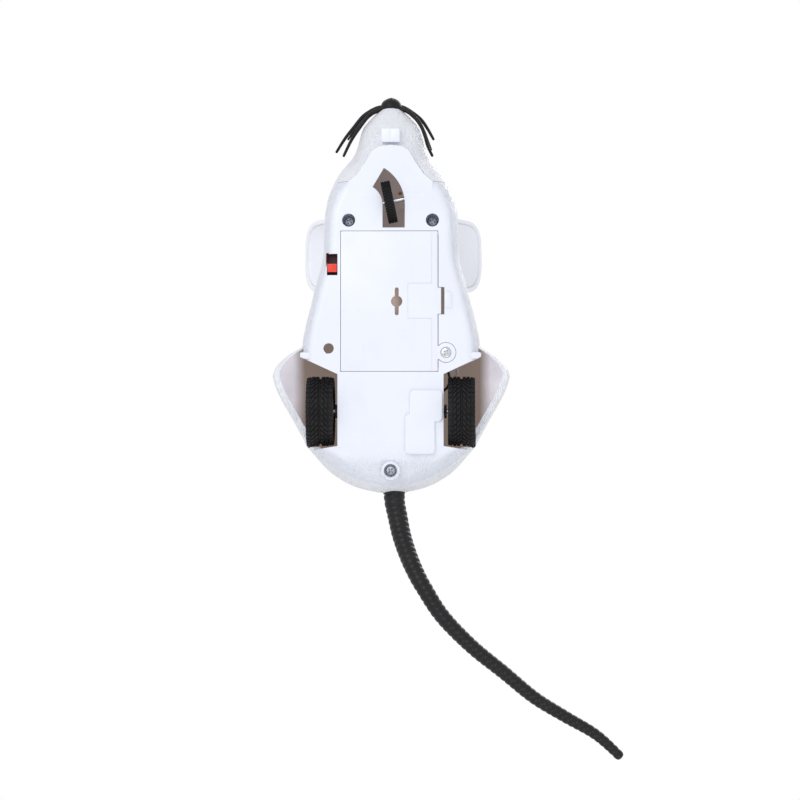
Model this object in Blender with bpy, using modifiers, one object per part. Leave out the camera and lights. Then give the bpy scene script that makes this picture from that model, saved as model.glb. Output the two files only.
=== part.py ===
"""Battery-driven toy mouse: a fur-textured shell on a chassis with a geared rear axle, a front wheel on a
swing arm, a battery door, a slide switch and a free rubber tail. Metres, +Z up, nose towards -Y, wheels on
z = 0."""

import math

import bmesh
import bpy
from mathutils import Matrix, Vector

# Hull lines of the body: y, half-width, top, bottom, width of the rounded lower flank.
HULL = (
    (-0.0864, 0.0042, 0.0245, 0.0155, 0.0042),
    (-0.0815, 0.0096, 0.0286, 0.0120, 0.0096),
    (-0.0774, 0.0129, 0.0320, 0.0100, 0.0129),
    (-0.0657, 0.0168, 0.0396, 0.0078, 0.0130),
    (-0.0558, 0.0242, 0.0452, 0.0064, 0.0110),
    (-0.0450, 0.0289, 0.0504, 0.0050, 0.0085),
    (-0.0360, 0.0304, 0.0540, 0.0050, 0.0065),
    (-0.0220, 0.0308, 0.0586, 0.0050, 0.0060),
    (0.0000, 0.0358, 0.0638, 0.0050, 0.0060),
    (0.0216, 0.0405, 0.0668, 0.0050, 0.0065),
    (0.0400, 0.0415, 0.0664, 0.0050, 0.0070),
    (0.0576, 0.0410, 0.0620, 0.0050, 0.0080),
    (0.0660, 0.0393, 0.0562, 0.0054, 0.0110),
    (0.0720, 0.0347, 0.0500, 0.0062, 0.0140),
    (0.0792, 0.0281, 0.0410, 0.0084, 0.0180),
    (0.0840, 0.0210, 0.0344, 0.0110, 0.0190),
    (0.0870, 0.0136, 0.0290, 0.0146, 0.0136),
    (0.0886, 0.0060, 0.0250, 0.0180, 0.0060),
)
RING_STEPS = ((-0.0864, -0.0774, 3), (-0.0774, -0.045, 5), (-0.045, 0.0216, 5),
              (0.0216, 0.036, 4), (0.036, 0.0648, 5), (0.0648, 0.084, 4), (0.084, 0.0886, 3))
HULL_END = 0.0891
WIDEST_ABOVE_BOTTOM = 0.0145
CROWN = 0.91
HAUNCH = 0.0126
HAUNCH_Y = 0.036
HAUNCH_FRONT = 0.0135
HAUNCH_REAR = 0.0296
HAUNCH_TOP = (0.024, 0.050)

WALL = 0.0018
GAP = 0.0003
PART_Z = 0.0122
FLOOR_Z = 0.005
DECK_Z = FLOOR_Z + WALL

# Rear wheels, axle and gears, all turning about X.
AXLE_Y, AXLE_Z, AXLE_R = 0.05175, 0.0158, 0.001
TYRE_R, TYRE_WIDTH, TYRE_X = 0.0158, 0.0121, 0.0320
HUB_R = 0.0105
AXLE_HALF = 0.0379
WELL_X, WELL_WALL, WELL_TOP = 0.0239, 0.0015, 0.021
MODULE = 0.0006
AXLE_TEETH, SMALL_TEETH, BIG_TEETH, PINION_TEETH = 29, 12, 26, 10
MESH_1 = MODULE * (AXLE_TEETH + SMALL_TEETH) / 2
MESH_2 = MODULE * (BIG_TEETH + PINION_TEETH) / 2
IDLER_Z = 0.0140
IDLER_Y = AXLE_Y + math.sqrt(MESH_1**2 - (AXLE_Z - IDLER_Z) ** 2)
MOTOR_Y = 0.0605
MOTOR_Z = IDLER_Z + math.sqrt(MESH_2**2 - (IDLER_Y - MOTOR_Y) ** 2)

# Front wheel and its swing arm. The wheel stands turned by STEER at rest.
PIVOT_X, PIVOT_Y = -0.0128, -0.0414
STEER = math.radians(11.5)
WHEEL_X, WHEEL_Y = -0.0007, -0.0429
WHEEL_R, WHEEL_WIDTH = 0.0098, 0.0045
ARM_LOW = 0.0087
SLOT_INNER, SLOT_OUTER = 0.0092, 0.0193
SLOT_AHEAD = math.radians(59.4)
SLOT_X = (-0.0036, 0.0064)
SLOT_END = -0.0310
TONGUE_END = -0.0470

# Plate that closes the slot from above.
PLATE_X, PLATE_Y, PLATE_Z = (-0.0145, 0.0122), (-0.0610, -0.0300), (0.0226, 0.0236)
PLATE_HOLES = ((-0.0072, -0.0500), (0.0018, -0.0520), (0.0072, -0.0330))

# Battery bay and door.
DOOR_X, DOOR_Y = (-0.0224, 0.0213), (-0.0294, 0.0338)
DOOR_T, DOOR_GAP = 0.0016, 0.0004
BAY_X, BAY_Y, BAY_TOP, BAY_WALL = (-0.0226, 0.0216), (-0.0278, 0.0322), 0.0226, 0.0012
CELL_R, CELL_LENGTH, CELL_PITCH = 0.0071, 0.0495, 0.0146
PAD_X, PAD_Y, PAD_GROOVE = (0.0077, 0.0187), (-0.0060, 0.0101), 0.0003
LUG_X, LUG_Y, LUG_R = 0.0250, 0.0254, 0.0044
TONGUE_Y = (-0.0039, 0.0080)
TONGUE_X = 0.0228
SLIT_X = 0.0243

SWITCH_X, SWITCH_Y = -0.0263, -0.0128
SWITCH_SLOT = ((-0.0287, -0.0239), (-0.0192, -0.0095))
KNOB_HALF = (0.0021, 0.00185)
# Case screws: x, y, ceiling of the well that each head sits in.
CASE_SCREWS = {"left": (-0.0189, -0.0344, 0.0145), "right": (0.0189, -0.0344, 0.0145),
               "rear": (0.0, 0.0786, 0.0098)}
SCREW_WELL_R, SCREW_HEAD_R, SCREW_R = 0.0030, 0.0022, 0.0013

EAR_CENTRE = Vector((0.0306, -0.0219, 0.0520))
EAR_HALF_LENGTH, EAR_HALF_HEIGHT, EAR_TILT, EAR_WALL = 0.0173, 0.0166, math.radians(40), 0.0018
EAR_SQUARE = 3.6
EYE_CENTRE, EYE_R = Vector((0.0168, -0.0585, 0.0355)), 0.0036

TAIL_X, TAIL_Z = 0.0013, 0.0215
# The tail leaves the rump, droops and lies on the floor: x, y, height of its middle, radius.
TAIL_ROUTE = (
    (0.0013, 0.0895, 0.0215, 0.0049),
    (0.0017, 0.0940, 0.0213, 0.0047),
    (0.0027, 0.0986, 0.0203, 0.0046),
    (0.0046, 0.1073, 0.0165, 0.0044),
    (0.0074, 0.1157, 0.0116, 0.0042),
    (0.0108, 0.1235, 0.0072, 0.0040),
    (0.0149, 0.1310, 0.0046, 0.0038),
    (0.0234, 0.1440, 0.0038, 0.0036),
    (0.0365, 0.1574, 0.0036, 0.0034),
    (0.0506, 0.1688, 0.0034, 0.0032),
    (0.0644, 0.1801, 0.0031, 0.0030),
    (0.0779, 0.1884, 0.0029, 0.0028),
    (0.0921, 0.1967, 0.0027, 0.0025),
    (0.1028, 0.2063, 0.0025, 0.0022),
)

WHITE, CHASSIS_WHITE, BLACK = (0.88, 0.89, 0.92), (0.84, 0.86, 0.90), (0.02, 0.02, 0.022)
STEEL, ZINC, BRASS = (0.62, 0.63, 0.65), (0.45, 0.46, 0.48), (0.72, 0.56, 0.28)
RED, GREEN, NYLON, TAUPE = (0.75, 0.06, 0.04), (0.03, 0.22, 0.09), (0.80, 0.79, 0.74), (0.36, 0.32, 0.31)
CELL_GOLD, CELL_BLUE = (0.70, 0.55, 0.20), (0.08, 0.10, 0.16)


def clear_scene():
    for obj in list(bpy.data.objects):
        bpy.data.objects.remove(obj, do_unlink=True)
    for collection in list(bpy.data.collections):
        bpy.data.collections.remove(collection)


def new_collection(name):
    collection = bpy.data.collections.new(name)
    bpy.context.scene.collection.children.link(collection)
    return collection


clear_scene()
MOUSE = new_collection("toy_mouse")
CUTTERS = new_collection("cutters")


def from_bmesh(name, bm):
    bmesh.ops.recalc_face_normals(bm, faces=bm.faces[:])
    mesh = bpy.data.meshes.new(name)
    bm.to_mesh(mesh)
    bm.free()
    obj = bpy.data.objects.new(name, mesh)
    CUTTERS.objects.link(obj)
    obj.hide_render = True
    obj.display_type = "WIRE"
    return obj


def publish(obj, name, colour, rough=0.45, metal=0.0, round_piece=True):
    """Takes a working shape into the mouse under its own name and material."""
    CUTTERS.objects.unlink(obj)
    MOUSE.objects.link(obj)
    obj.name = name
    obj.hide_render = False
    obj.display_type = "TEXTURED"
    material = bpy.data.materials.new(name)
    material.use_nodes = True
    shader = material.node_tree.nodes["Principled BSDF"]
    shader.inputs["Base Color"].default_value = (*colour, 1.0)
    shader.inputs["Roughness"].default_value = rough
    shader.inputs["Metallic"].default_value = metal
    obj.data.materials.append(material)
    if round_piece and obj.type == "MESH":
        obj.data.shade_smooth()
        obj.data.set_sharp_from_angle(angle=math.radians(35))
    return obj


def combine(obj, operation, *others):
    for other in others:
        modifier = obj.modifiers.new(f"{operation.lower()}_{other.name}", "BOOLEAN")
        modifier.operation = operation
        modifier.solver = "EXACT"
        modifier.object = other
    return obj


def cut(obj, *others):
    return combine(obj, "DIFFERENCE", *others)


def join(obj, *others):
    return combine(obj, "UNION", *others)


def bevel(obj, width, segments=1):
    modifier = obj.modifiers.new("rounded_edges", "BEVEL")
    modifier.width = width
    modifier.segments = segments
    modifier.limit_method = "ANGLE"
    return obj


def box(name, x, y, z):
    bm = bmesh.new()
    bmesh.ops.create_cube(bm, size=1.0)
    size = (x[1] - x[0], y[1] - y[0], z[1] - z[0])
    middle = ((x[0] + x[1]) / 2, (y[0] + y[1]) / 2, (z[0] + z[1]) / 2)
    bmesh.ops.scale(bm, vec=size, verts=bm.verts)
    bmesh.ops.translate(bm, vec=middle, verts=bm.verts)
    return from_bmesh(name, bm)


def rod(name, start, end, radius, sides=16, end_radius=None):
    """A cylinder or cone between two points."""
    start, end = Vector(start), Vector(end)
    bm = bmesh.new()
    bmesh.ops.create_cone(
        bm, cap_ends=True, segments=sides, radius1=radius,
        radius2=radius if end_radius is None else end_radius, depth=(end - start).length,
    )
    turn = (end - start).to_track_quat("Z", "Y").to_matrix().to_4x4()
    bmesh.ops.transform(bm, matrix=Matrix.Translation((start + end) / 2) @ turn, verts=bm.verts)
    return from_bmesh(name, bm)


def ball(name, centre, radii, segments=16, rings=10):
    bm = bmesh.new()
    bmesh.ops.create_uvsphere(bm, u_segments=segments, v_segments=rings, radius=1.0)
    bmesh.ops.scale(bm, vec=radii, verts=bm.verts)
    bmesh.ops.translate(bm, vec=centre, verts=bm.verts)
    return from_bmesh(name, bm)


def prism(name, outline, low, high):
    """A flat outline in XY carried from one height to another."""
    bm = bmesh.new()
    face = bm.faces.new([bm.verts.new((x, y, low)) for x, y in outline])
    top = bmesh.ops.extrude_face_region(bm, geom=[face])["geom"]
    verts = [item for item in top if isinstance(item, bmesh.types.BMVert)]
    bmesh.ops.translate(bm, vec=(0, 0, high - low), verts=verts)
    return from_bmesh(name, bm)


def turned(name, profile, centre, steps=24, axis="X"):
    """A profile of (radius, along) points, outer side top to bottom, turned about an axis by a Screw."""
    bm = bmesh.new()
    verts = [bm.verts.new((radius, 0, along)) for radius, along in profile]
    pairs = list(zip(verts, verts[1:]))
    if profile[0][0] > 0:
        pairs.append((verts[-1], verts[0]))
    for pair in pairs:
        bm.edges.new(pair)
    obj = from_bmesh(name, bm)
    screw = obj.modifiers.new("turn", "SCREW")
    screw.steps = screw.render_steps = steps
    screw.use_merge_vertices = True
    screw.merge_threshold = 0.00001
    obj.location = centre
    obj.rotation_euler = {"X": (0, math.pi / 2, 0), "Y": (-math.pi / 2, 0, 0), "Z": (0, 0, 0)}[axis]
    return obj


def ring_profile(inner, outer, half):
    return ((outer, half), (outer, -half), (inner, -half), (inner, half))


def steered(along, across, z):
    """A point in the turned front wheel's own axes: along its axle from the pivot, and across it."""
    c, s = math.cos(STEER), math.sin(STEER)
    return (PIVOT_X + along * c + across * s, PIVOT_Y - along * s + across * c, z)


def steered_box(name, along, across, z):
    corners = [(along[0], across[0]), (along[1], across[0]), (along[1], across[1]), (along[0], across[1])]
    return prism(name, [steered(a, b, 0)[:2] for a, b in corners], *z)


def on_axis(name, place, *pieces):
    """Parents pieces to an empty that stands on their joint's axis."""
    empty = bpy.data.objects.new(name, None)
    MOUSE.objects.link(empty)
    empty.location = place
    for piece in pieces:
        piece.parent = empty
        piece.matrix_parent_inverse = Matrix.Translation(-Vector(place))
    return empty


# --- The hull surface that the shell, the chassis and everything on them share ---


def hull_at(y):
    """Half-width, top, bottom and flank width at y, on a smooth curve through the hull lines."""
    rows = HULL
    i = max(0, min(len(rows) - 2, sum(1 for row in rows if row[0] <= y) - 1))
    span = rows[i + 1][0] - rows[i][0]
    t = (y - rows[i][0]) / span
    values = []
    for column in range(1, 5):
        def slope(k):
            if k in (0, len(rows) - 1):
                return (rows[i + 1][column] - rows[i][column]) / span
            before = (rows[k][column] - rows[k - 1][column]) / (rows[k][0] - rows[k - 1][0])
            after = (rows[k + 1][column] - rows[k][column]) / (rows[k + 1][0] - rows[k][0])
            return 2 * before * after / (before + after) if before * after > 0 else 0.0
        a, b = rows[i][column], rows[i + 1][column]
        values.append(
            (2 * t**3 - 3 * t**2 + 1) * a + (t**3 - 2 * t**2 + t) * span * slope(i)
            + (3 * t**2 - 2 * t**3) * b + (t**3 - t**2) * span * slope(i + 1)
        )
    return values


def haunch_bulge(y, z):
    t = (y - HAUNCH_Y) / (HAUNCH_REAR if y > HAUNCH_Y else HAUNCH_FRONT)
    if abs(t) >= 1:
        return 0.0
    along = 1 - t * t if t < 0 else (math.cos(math.pi * t / 2) ** 2 + 1 - t) / 2
    low, high = HAUNCH_TOP
    rise = min(1.0, max(0.0, (z - low) / (high - low)))
    return HAUNCH * along * math.cos(math.pi * rise / 2) ** 2


def section(y, grow, haunches):
    """Half a hull section from the bottom middle up to the top middle, grown by grow."""
    width, top, bottom, flank = hull_at(y)
    width, top, bottom = width + grow, top + grow, bottom - grow
    flank = min(width, flank + grow * 0.5)
    widest = bottom + min((top - bottom) / 2, WIDEST_ABOVE_BOTTOM)
    points = [(0.0, bottom)]
    for k in range(4):
        angle = math.pi / 2 * (1 - k / 4)
        points.append((width - flank + flank * math.cos(angle),
                       widest - (widest - bottom) * math.sin(angle)))
    for k in range(7):
        angle = math.pi / 2 * k / 7
        points.append((width * math.cos(angle) ** CROWN,
                       widest + (top - widest) * math.sin(angle) ** CROWN))
    points.append((0.0, top))
    if haunches:
        points = [(x + haunch_bulge(y, z) * x / width, z) for x, z in points]
    return points


def hull(name, grow=0.0, haunches=False):
    """The closed hull as a loft of sections, grown outwards or inwards."""
    ends = (HULL[0][0] - grow, HULL_END + grow)
    places = [low + (high - low) * k / n for low, high, n in RING_STEPS for k in range(n)]
    places.append(RING_STEPS[-1][1])
    stretch = (ends[1] - ends[0]) / (HULL_END - HULL[0][0])
    bm = bmesh.new()
    rings = []
    for y in places:
        half = section(y, grow, haunches)
        ring = half + [(-x, z) for x, z in reversed(half[1:-1])]
        moved = ends[0] + (y - HULL[0][0]) * stretch
        rings.append([bm.verts.new((x, moved, z)) for x, z in ring])
    for near, far in zip(rings, rings[1:]):
        for k in range(len(near)):
            bm.faces.new((near[k - 1], near[k], far[k], far[k - 1]))
    bm.faces.new(rings[0])
    tip = bm.verts.new((0, ends[1], (HULL[-1][2] + HULL[-1][3]) / 2))
    for k in range(len(rings[-1])):
        bm.faces.new((rings[-1][k - 1], rings[-1][k], tip))
    return from_bmesh(name, bm)


def chassis_plan(grow):
    """Plan of the chassis: a front tongue that flares to the full width behind it."""
    reach = 0.075
    half = [(0.0, -0.0684), (0.0050, -0.0678), (0.0082, -0.0659), (0.0114, -0.0605), (0.0152, -0.0551),
            (0.0190, -0.0520), (reach, -0.0500)]
    right = [(x + (grow if 0 < x < reach else 0.0), y - grow) for x, y in half]
    right += [(reach, 0.12)]
    return right + [(-x, y) for x, y in reversed(right) if x > 0]


def mouse_shapes():
    return {
        "outer": hull("hull_outer", 0.0, True),
        "inner": hull("hull_inner", -WALL, True),
        "plain": hull("hull_plain"),
        "plain_inner": hull("hull_plain_inner", -WALL),
        "clear": hull("hull_clear", GAP, True),
    }


def make_upper_shell(shapes):
    shell = hull("upper_shell_form", 0.0, True)
    cut(shell, shapes["inner"], prism("chassis_room", chassis_plan(0.0004), -0.02, PART_Z + 0.0004))
    posts = []
    for side, (x, y, ceiling) in CASE_SCREWS.items():
        low = max(PART_Z + 0.0005, ceiling + 0.0020)
        post = rod(f"shell_post_{side}", (x, y, low), (x, y, 0.07), 0.0034, 12)
        posts.append(combine(post, "INTERSECT", shapes["outer"]))
    join(shell, *posts)
    cut(shell, *[rod(f"post_bore_{side}", (x, y, 0.0), (x, y, 0.0262), SCREW_R + 0.00035, 12)
                 for side, (x, y, _) in CASE_SCREWS.items()])
    cut(shell, rod("tail_hole", (TAIL_X, 0.080, TAIL_Z), (TAIL_X, 0.1, TAIL_Z), 0.0063, 20))
    cut(shell, *[rod(f"shell_tyre_room_{side}", (side * 0.025, AXLE_Y, AXLE_Z),
                     (side * (TYRE_X + TYRE_WIDTH / 2 + 0.0004), AXLE_Y, AXLE_Z), TYRE_R + 0.0008, 32)
                 for side in (-1, 1)])
    return publish(shell, "upper_shell", WHITE, 0.35)


def well_plan(side):
    """Plan of the notch that a rear wheel stands in."""
    half = [(WELL_X, 0.0351), (0.0403, 0.0275), (0.060, 0.0183), (0.060, 0.0715), (0.0350, 0.0693),
            (WELL_X, 0.0675)]
    return [(side * x, y) for x, y in half][::side]


def front_slot_plan():
    """Plan of the front wheel slot: a ring sector round the pivot, carried straight on towards the rear."""
    def at(radius, angle):
        return PIVOT_X + radius * math.cos(angle), PIVOT_Y - radius * math.sin(angle)
    steps = [SLOT_AHEAD * k / 6 for k in range(7)]
    outer = [at(SLOT_OUTER, angle) for angle in steps]
    inner = [at(SLOT_INNER, angle) for angle in reversed(steps)]
    return outer + inner + [(SLOT_X[0], SLOT_END), (SLOT_X[1], SLOT_END)]


def gear_bulges(shrink):
    """The two rounded bulges under the gears, or, shrunk, the room inside them."""
    plans = (((0.0085, 0.0236), (0.0422, 0.0566)), ((0.0064, 0.0202), (0.0530, 0.0713)))
    low = FLOOR_Z - 0.0015 + shrink
    return [
        box(f"gear_bulge_{k}_{'room' if shrink else 'skin'}", (x[0] + shrink, x[1] - shrink),
            (y[0] + shrink, y[1] - shrink), (low, DECK_Z + (0.002 if shrink else -0.0002)))
        for k, (x, y) in enumerate(plans)
    ]


def make_chassis(shapes):
    chassis = hull("chassis_form")
    combine(chassis, "INTERSECT", prism("chassis_block", chassis_plan(0.0), -0.02, PART_Z))
    cut(chassis, shapes["plain_inner"])
    front = [(x, y) for x, y in chassis_plan(0.0) if abs(x) < 0.03]
    rear = [(0.019, TONGUE_END), (-0.019, TONGUE_END)]
    tongue = prism("tongue_plate", [*[p for p in front if p[0] >= 0], *rear, *[p for p in front if p[0] < 0]],
                   FLOOR_Z, FLOOR_Z + 0.0030)
    join(chassis, tongue)
    bay = box("bay_walls", (BAY_X[0] - BAY_WALL, BAY_X[1] + BAY_WALL),
              (BAY_Y[0] - BAY_WALL, BAY_Y[1] + BAY_WALL), (DECK_Z - 0.0006, BAY_TOP + BAY_WALL))
    join(chassis, bay)
    for side in (-1, 1):
        inner, outer = sorted((side * (WELL_X - WELL_WALL), side * (WELL_X + 0.0005)))
        height = (FLOOR_Z + 0.0004, WELL_TOP)
        join(chassis, box(f"well_wall_{side}", (inner, outer), (0.0345, 0.0681), height))
    join(chassis, *gear_bulges(0.0))
    for side, (x, y, ceiling) in CASE_SCREWS.items():
        post = rod(f"screw_post_{side}", (x, y, 0.0), (x, y, ceiling + 0.0016), 0.0042, 20)
        join(chassis, combine(post, "INTERSECT", shapes["plain"]))
    join(
        chassis,
        rod("lug_post", (LUG_X, LUG_Y, DECK_Z - 0.0004), (LUG_X, LUG_Y, 0.016), 0.0031, 16),
        rod("pivot_post", (PIVOT_X, PIVOT_Y, FLOOR_Z + 0.0005), (PIVOT_X, PIVOT_Y, 0.0143), 0.0020, 16),
        box("catch_block", (SLIT_X, 0.0277), (-0.0020, 0.0054), (FLOOR_Z - 0.0005, DECK_Z - 0.0005)),
    )
    for k, x in enumerate((-0.0140, -0.0020)):
        join(chassis, box(f"motor_rest_{k}", (x, x + 0.0015), (0.0545, 0.0665), (DECK_Z - 0.0006, 0.0164)))
    cut(chassis, prism("front_slot", front_slot_plan(), -0.01, 0.011))
    cut(
        chassis,
        box("door_opening", (DOOR_X[0] - DOOR_GAP, DOOR_X[1] + DOOR_GAP),
            (DOOR_Y[0] - DOOR_GAP, DOOR_Y[1] + DOOR_GAP), (0.0, DECK_Z + 0.0001)),
        box("tongue_opening", (0.0200, SLIT_X), (TONGUE_Y[0] - DOOR_GAP, TONGUE_Y[1] + DOOR_GAP),
            (0.0, DECK_Z + 0.0001)),
        rod("lug_opening", (LUG_X, LUG_Y, 0.0), (LUG_X, LUG_Y, DECK_Z + 0.0001), LUG_R + DOOR_GAP, 24),
        rod("lug_bore", (LUG_X, LUG_Y, 0.0), (LUG_X, LUG_Y, 0.0145), 0.0015, 12),
        box("bay_room", BAY_X, BAY_Y, (0.0, BAY_TOP)),
        box("switch_slot", *SWITCH_SLOT, (-0.01, PART_Z + 0.0006)),
        rod("round_hole", (-0.0279, 0.0235, -0.01), (-0.0279, 0.0235, 0.0095), 0.00235, 20),
        rod("pivot_bore", (PIVOT_X, PIVOT_Y, 0.0085), (PIVOT_X, PIVOT_Y, 0.02), 0.00125, 10),
    )
    for side, (x, y, ceiling) in CASE_SCREWS.items():
        cut(
            chassis,
            rod(f"screw_well_{side}", (x, y, -0.01), (x, y, ceiling), SCREW_WELL_R, 20),
            rod(f"screw_bore_{side}", (x, y, 0.0), (x, y, 0.02), 0.0017, 12),
        )
    for side in (-1, 1):
        start, end = (side * (WELL_X + 0.0003), AXLE_Y, AXLE_Z), (side * 0.07, AXLE_Y, AXLE_Z)
        cut(
            chassis,
            prism(f"wheel_well_{side}", well_plan(side), -0.01, 0.03),
            rod(f"tyre_room_{side}", start, end, TYRE_R + 0.0012, 28),
            rod(f"bush_hole_{side}", (side * 0.02, AXLE_Y, AXLE_Z), (side * 0.03, AXLE_Y, AXLE_Z),
                0.0023, 14),
        )
    cut(chassis, *gear_bulges(0.0015))
    return publish(chassis, "chassis", CHASSIS_WHITE, 0.35)


# --- Head, ears and tail ---


def tube(name, route, colour, sides=2, rough=0.5):
    """A closed tube as a curve along (x, y, z, radius) points."""
    data = bpy.data.curves.new(name, "CURVE")
    data.dimensions = "3D"
    data.bevel_depth = 1.0
    data.bevel_resolution = sides
    data.use_fill_caps = True
    spline = data.splines.new("POLY")
    spline.points.add(len(route) - 1)
    for point, (x, y, z, radius) in zip(spline.points, route):
        point.co = (x, y, z, 1.0)
        point.radius = radius
    obj = bpy.data.objects.new(name, data)
    CUTTERS.objects.link(obj)
    return publish(obj, name, colour, rough) if colour else obj


def tube_mesh(name, route):
    """The same tube as a welded mesh, so that it can be joined to another shape."""
    curve = tube(name + "_curve", route, None, 1)
    bpy.context.view_layer.update()
    graph = bpy.context.evaluated_depsgraph_get()
    mesh = bpy.data.meshes.new_from_object(curve.evaluated_get(graph))
    bm = bmesh.new()
    bm.from_mesh(mesh)
    bmesh.ops.remove_doubles(bm, verts=bm.verts, dist=0.00001)
    bpy.data.objects.remove(curve, do_unlink=True)
    return from_bmesh(name, bm)


def smooth_route(points, per_span):
    """Points on a Catmull-Rom curve through the given ones."""
    route = []
    for i in range(len(points) - 1):
        p0, p1 = Vector(points[max(0, i - 1)]), Vector(points[i])
        p2, p3 = Vector(points[i + 1]), Vector(points[min(len(points) - 1, i + 2)])
        for k in range(per_span):
            t = k / per_span
            route.append(tuple(
                ((2 * p1) + (p2 - p0) * t + (2 * p0 - 5 * p1 + 4 * p2 - p3) * t**2
                 + (3 * p1 - p0 - 3 * p2 + p3) * t**3) / 2
            ))
    return route + [tuple(points[-1])]


def whisker_routes(side):
    """Three whiskers that start in the nose, run back beside the snout and spread."""
    rows = (
        ((0.0030, -0.0884, 0.0200), (0.0115, -0.0850, 0.0200), (0.0150, -0.0794, 0.0210),
         (0.0187, -0.0747, 0.0225), (0.0223, -0.0702, 0.0240), (0.0252, -0.0657, 0.0255)),
        ((0.0030, -0.0882, 0.0175), (0.0096, -0.0854, 0.0160), (0.0131, -0.0816, 0.0152),
         (0.0152, -0.0778, 0.0152), (0.0168, -0.0738, 0.0160), (0.0220, -0.0640, 0.0185)),
        ((0.0030, -0.0882, 0.0225), (0.0094, -0.0856, 0.0250), (0.0134, -0.0810, 0.0272),
         (0.0163, -0.0763, 0.0284), (0.0200, -0.0708, 0.0296)),
    )
    return [[(side * x, y, z, 0.00085 - 0.0003 * k / len(row)) for k, (x, y, z) in enumerate(row)]
            for row in rows]


def make_face(shapes):
    nose = ball("nose_form", (0, -0.0865, 0.0200), (0.0048, 0.0046, 0.0046))
    for side in (-1, 1):
        for k, route in enumerate(whisker_routes(side)):
            join(nose, tube_mesh(f"whisker_{side}_{k}", route))
    cut(nose, shapes["clear"])
    publish(nose, "nose_whiskers", BLACK, 0.4)
    teeth = bevel(box("teeth_form", (-0.0042, 0.0042), (-0.0760, -0.0693), (0.0052, 0.0110)), 0.0008, 2)
    cut(teeth, box("teeth_notch", (-0.0003, 0.0003), (-0.0715, -0.0680), (0.0, 0.0072)), shapes["clear"])
    publish(teeth, "front_teeth", WHITE, 0.3, round_piece=False)
    for side, name in ((-1, "left"), (1, "right")):
        centre = Vector((side * EYE_CENTRE.x, EYE_CENTRE.y, EYE_CENTRE.z))
        eye = cut(ball(f"eye_form_{name}", centre, (EYE_R, EYE_R, EYE_R), 16, 10), shapes["clear"])
        publish(eye, f"eye_{name}", BLACK, 0.12)


def ear_surface(name, side):
    """An open dish with a flat rim, hollow towards the outside, leaning out by EAR_TILT."""
    rows = ((0.30, -0.0030), (0.60, -0.0026), (0.80, -0.0012), (0.87, 0.0), (1.00, 0.0))
    up = Vector((math.sin(EAR_TILT), 0, math.cos(EAR_TILT)))
    out = Vector((math.cos(EAR_TILT), 0, -math.sin(EAR_TILT)))
    sides = 20
    bm = bmesh.new()

    def vertex(scale, depth, angle):
        c, s = math.cos(angle), math.sin(angle)
        squared = (abs(c) ** EAR_SQUARE + abs(s) ** EAR_SQUARE) ** (-1 / EAR_SQUARE)
        place = EAR_CENTRE + up * (s * squared * scale * EAR_HALF_HEIGHT) + out * depth
        place.y += c * squared * scale * EAR_HALF_LENGTH
        return bm.verts.new((side * place.x, place.y, place.z))

    rings = [[vertex(scale, depth, 2 * math.pi * k / sides) for k in range(sides)] for scale, depth in rows]
    for near, far in zip(rings, rings[1:]):
        for k in range(sides):
            bm.faces.new((near[k - 1], near[k], far[k], far[k - 1]))
    bm.faces.new(rings[0])
    obj = from_bmesh(name, bm)
    thick = obj.modifiers.new("wall", "SOLIDIFY")
    thick.thickness = EAR_WALL
    thick.offset = 0.0
    return obj


def make_ears(shapes):
    for side, name in ((-1, "left"), (1, "right")):
        publish(cut(ear_surface(f"ear_form_{name}", side), shapes["clear"]), f"ear_{name}", WHITE, 0.35)


def make_tail():
    tube("tail", smooth_route(TAIL_ROUTE, 3), BLACK, 3, 0.55)
    grommet = turned("grommet_form", ((0, 0.0891), (0.0055, 0.0891), (0.0059, 0.0887), (0.0059, 0.0834),
                     (0.0072, 0.0834), (0.0072, 0.0820), (0, 0.0820)), (TAIL_X, 0, TAIL_Z), 20, "Y")
    publish(grommet, "tail_grommet", BLACK, 0.55)


# --- Battery bay ---


def make_door():
    flush = (FLOOR_Z, FLOOR_Z + DOOR_T)
    door = box("door_form", DOOR_X, DOOR_Y, flush)
    join(
        door,
        box("door_tongue", (0.0205, TONGUE_X), TONGUE_Y, flush),
        box("door_lug_neck", (0.0205, LUG_X), (LUG_Y - 0.0030, LUG_Y + 0.0030), flush),
        rod("door_lug", (LUG_X, LUG_Y, flush[0]), (LUG_X, LUG_Y, flush[1]), LUG_R, 24),
    )
    x, y = 0.0028, 0.0023
    cut(
        door,
        rod("keyhole_round", (x, y, 0.0), (x, y, 0.01), 0.00255, 20),
        box("keyhole_slots", (x - 0.0009, x + 0.0009), (y - 0.0063, y + 0.0063), (0.0, 0.01)),
        rod("lug_head_room", (LUG_X, LUG_Y, 0.0), (LUG_X, LUG_Y, FLOOR_Z + 0.0009), 0.0026, 20),
        rod("lug_hole", (LUG_X, LUG_Y, 0.0), (LUG_X, LUG_Y, 0.01), 0.0015, 12),
    )
    (left, right), (front, rear), line = PAD_X, PAD_Y, PAD_GROOVE
    for k, (across, along) in enumerate((
        ((left, left + line), (front, rear)), ((left + line / 2, right), (front, front + line)),
        ((left + line / 2, right), (rear - line, rear)),
        ((right - line, right), (DOOR_Y[0] + 0.0010, front + line / 2)),
        ((right - line, right), (rear - line / 2, DOOR_Y[1] - 0.0010)),
    )):
        cut(door, box(f"pad_groove_{k}", across, along, (0.0, FLOOR_Z + PAD_GROOVE)))
    publish(door, "battery_door", CHASSIS_WHITE, 0.35, round_piece=False)
    screw = make_screw("door_screw", LUG_X, LUG_Y, FLOOR_Z + 0.0001, 0.00205, 0.0006, 0.0011, 0.0100)
    on_axis("door_hinge", (DOOR_X[0], 0, FLOOR_Z), bpy.data.objects["battery_door"], screw)


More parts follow.
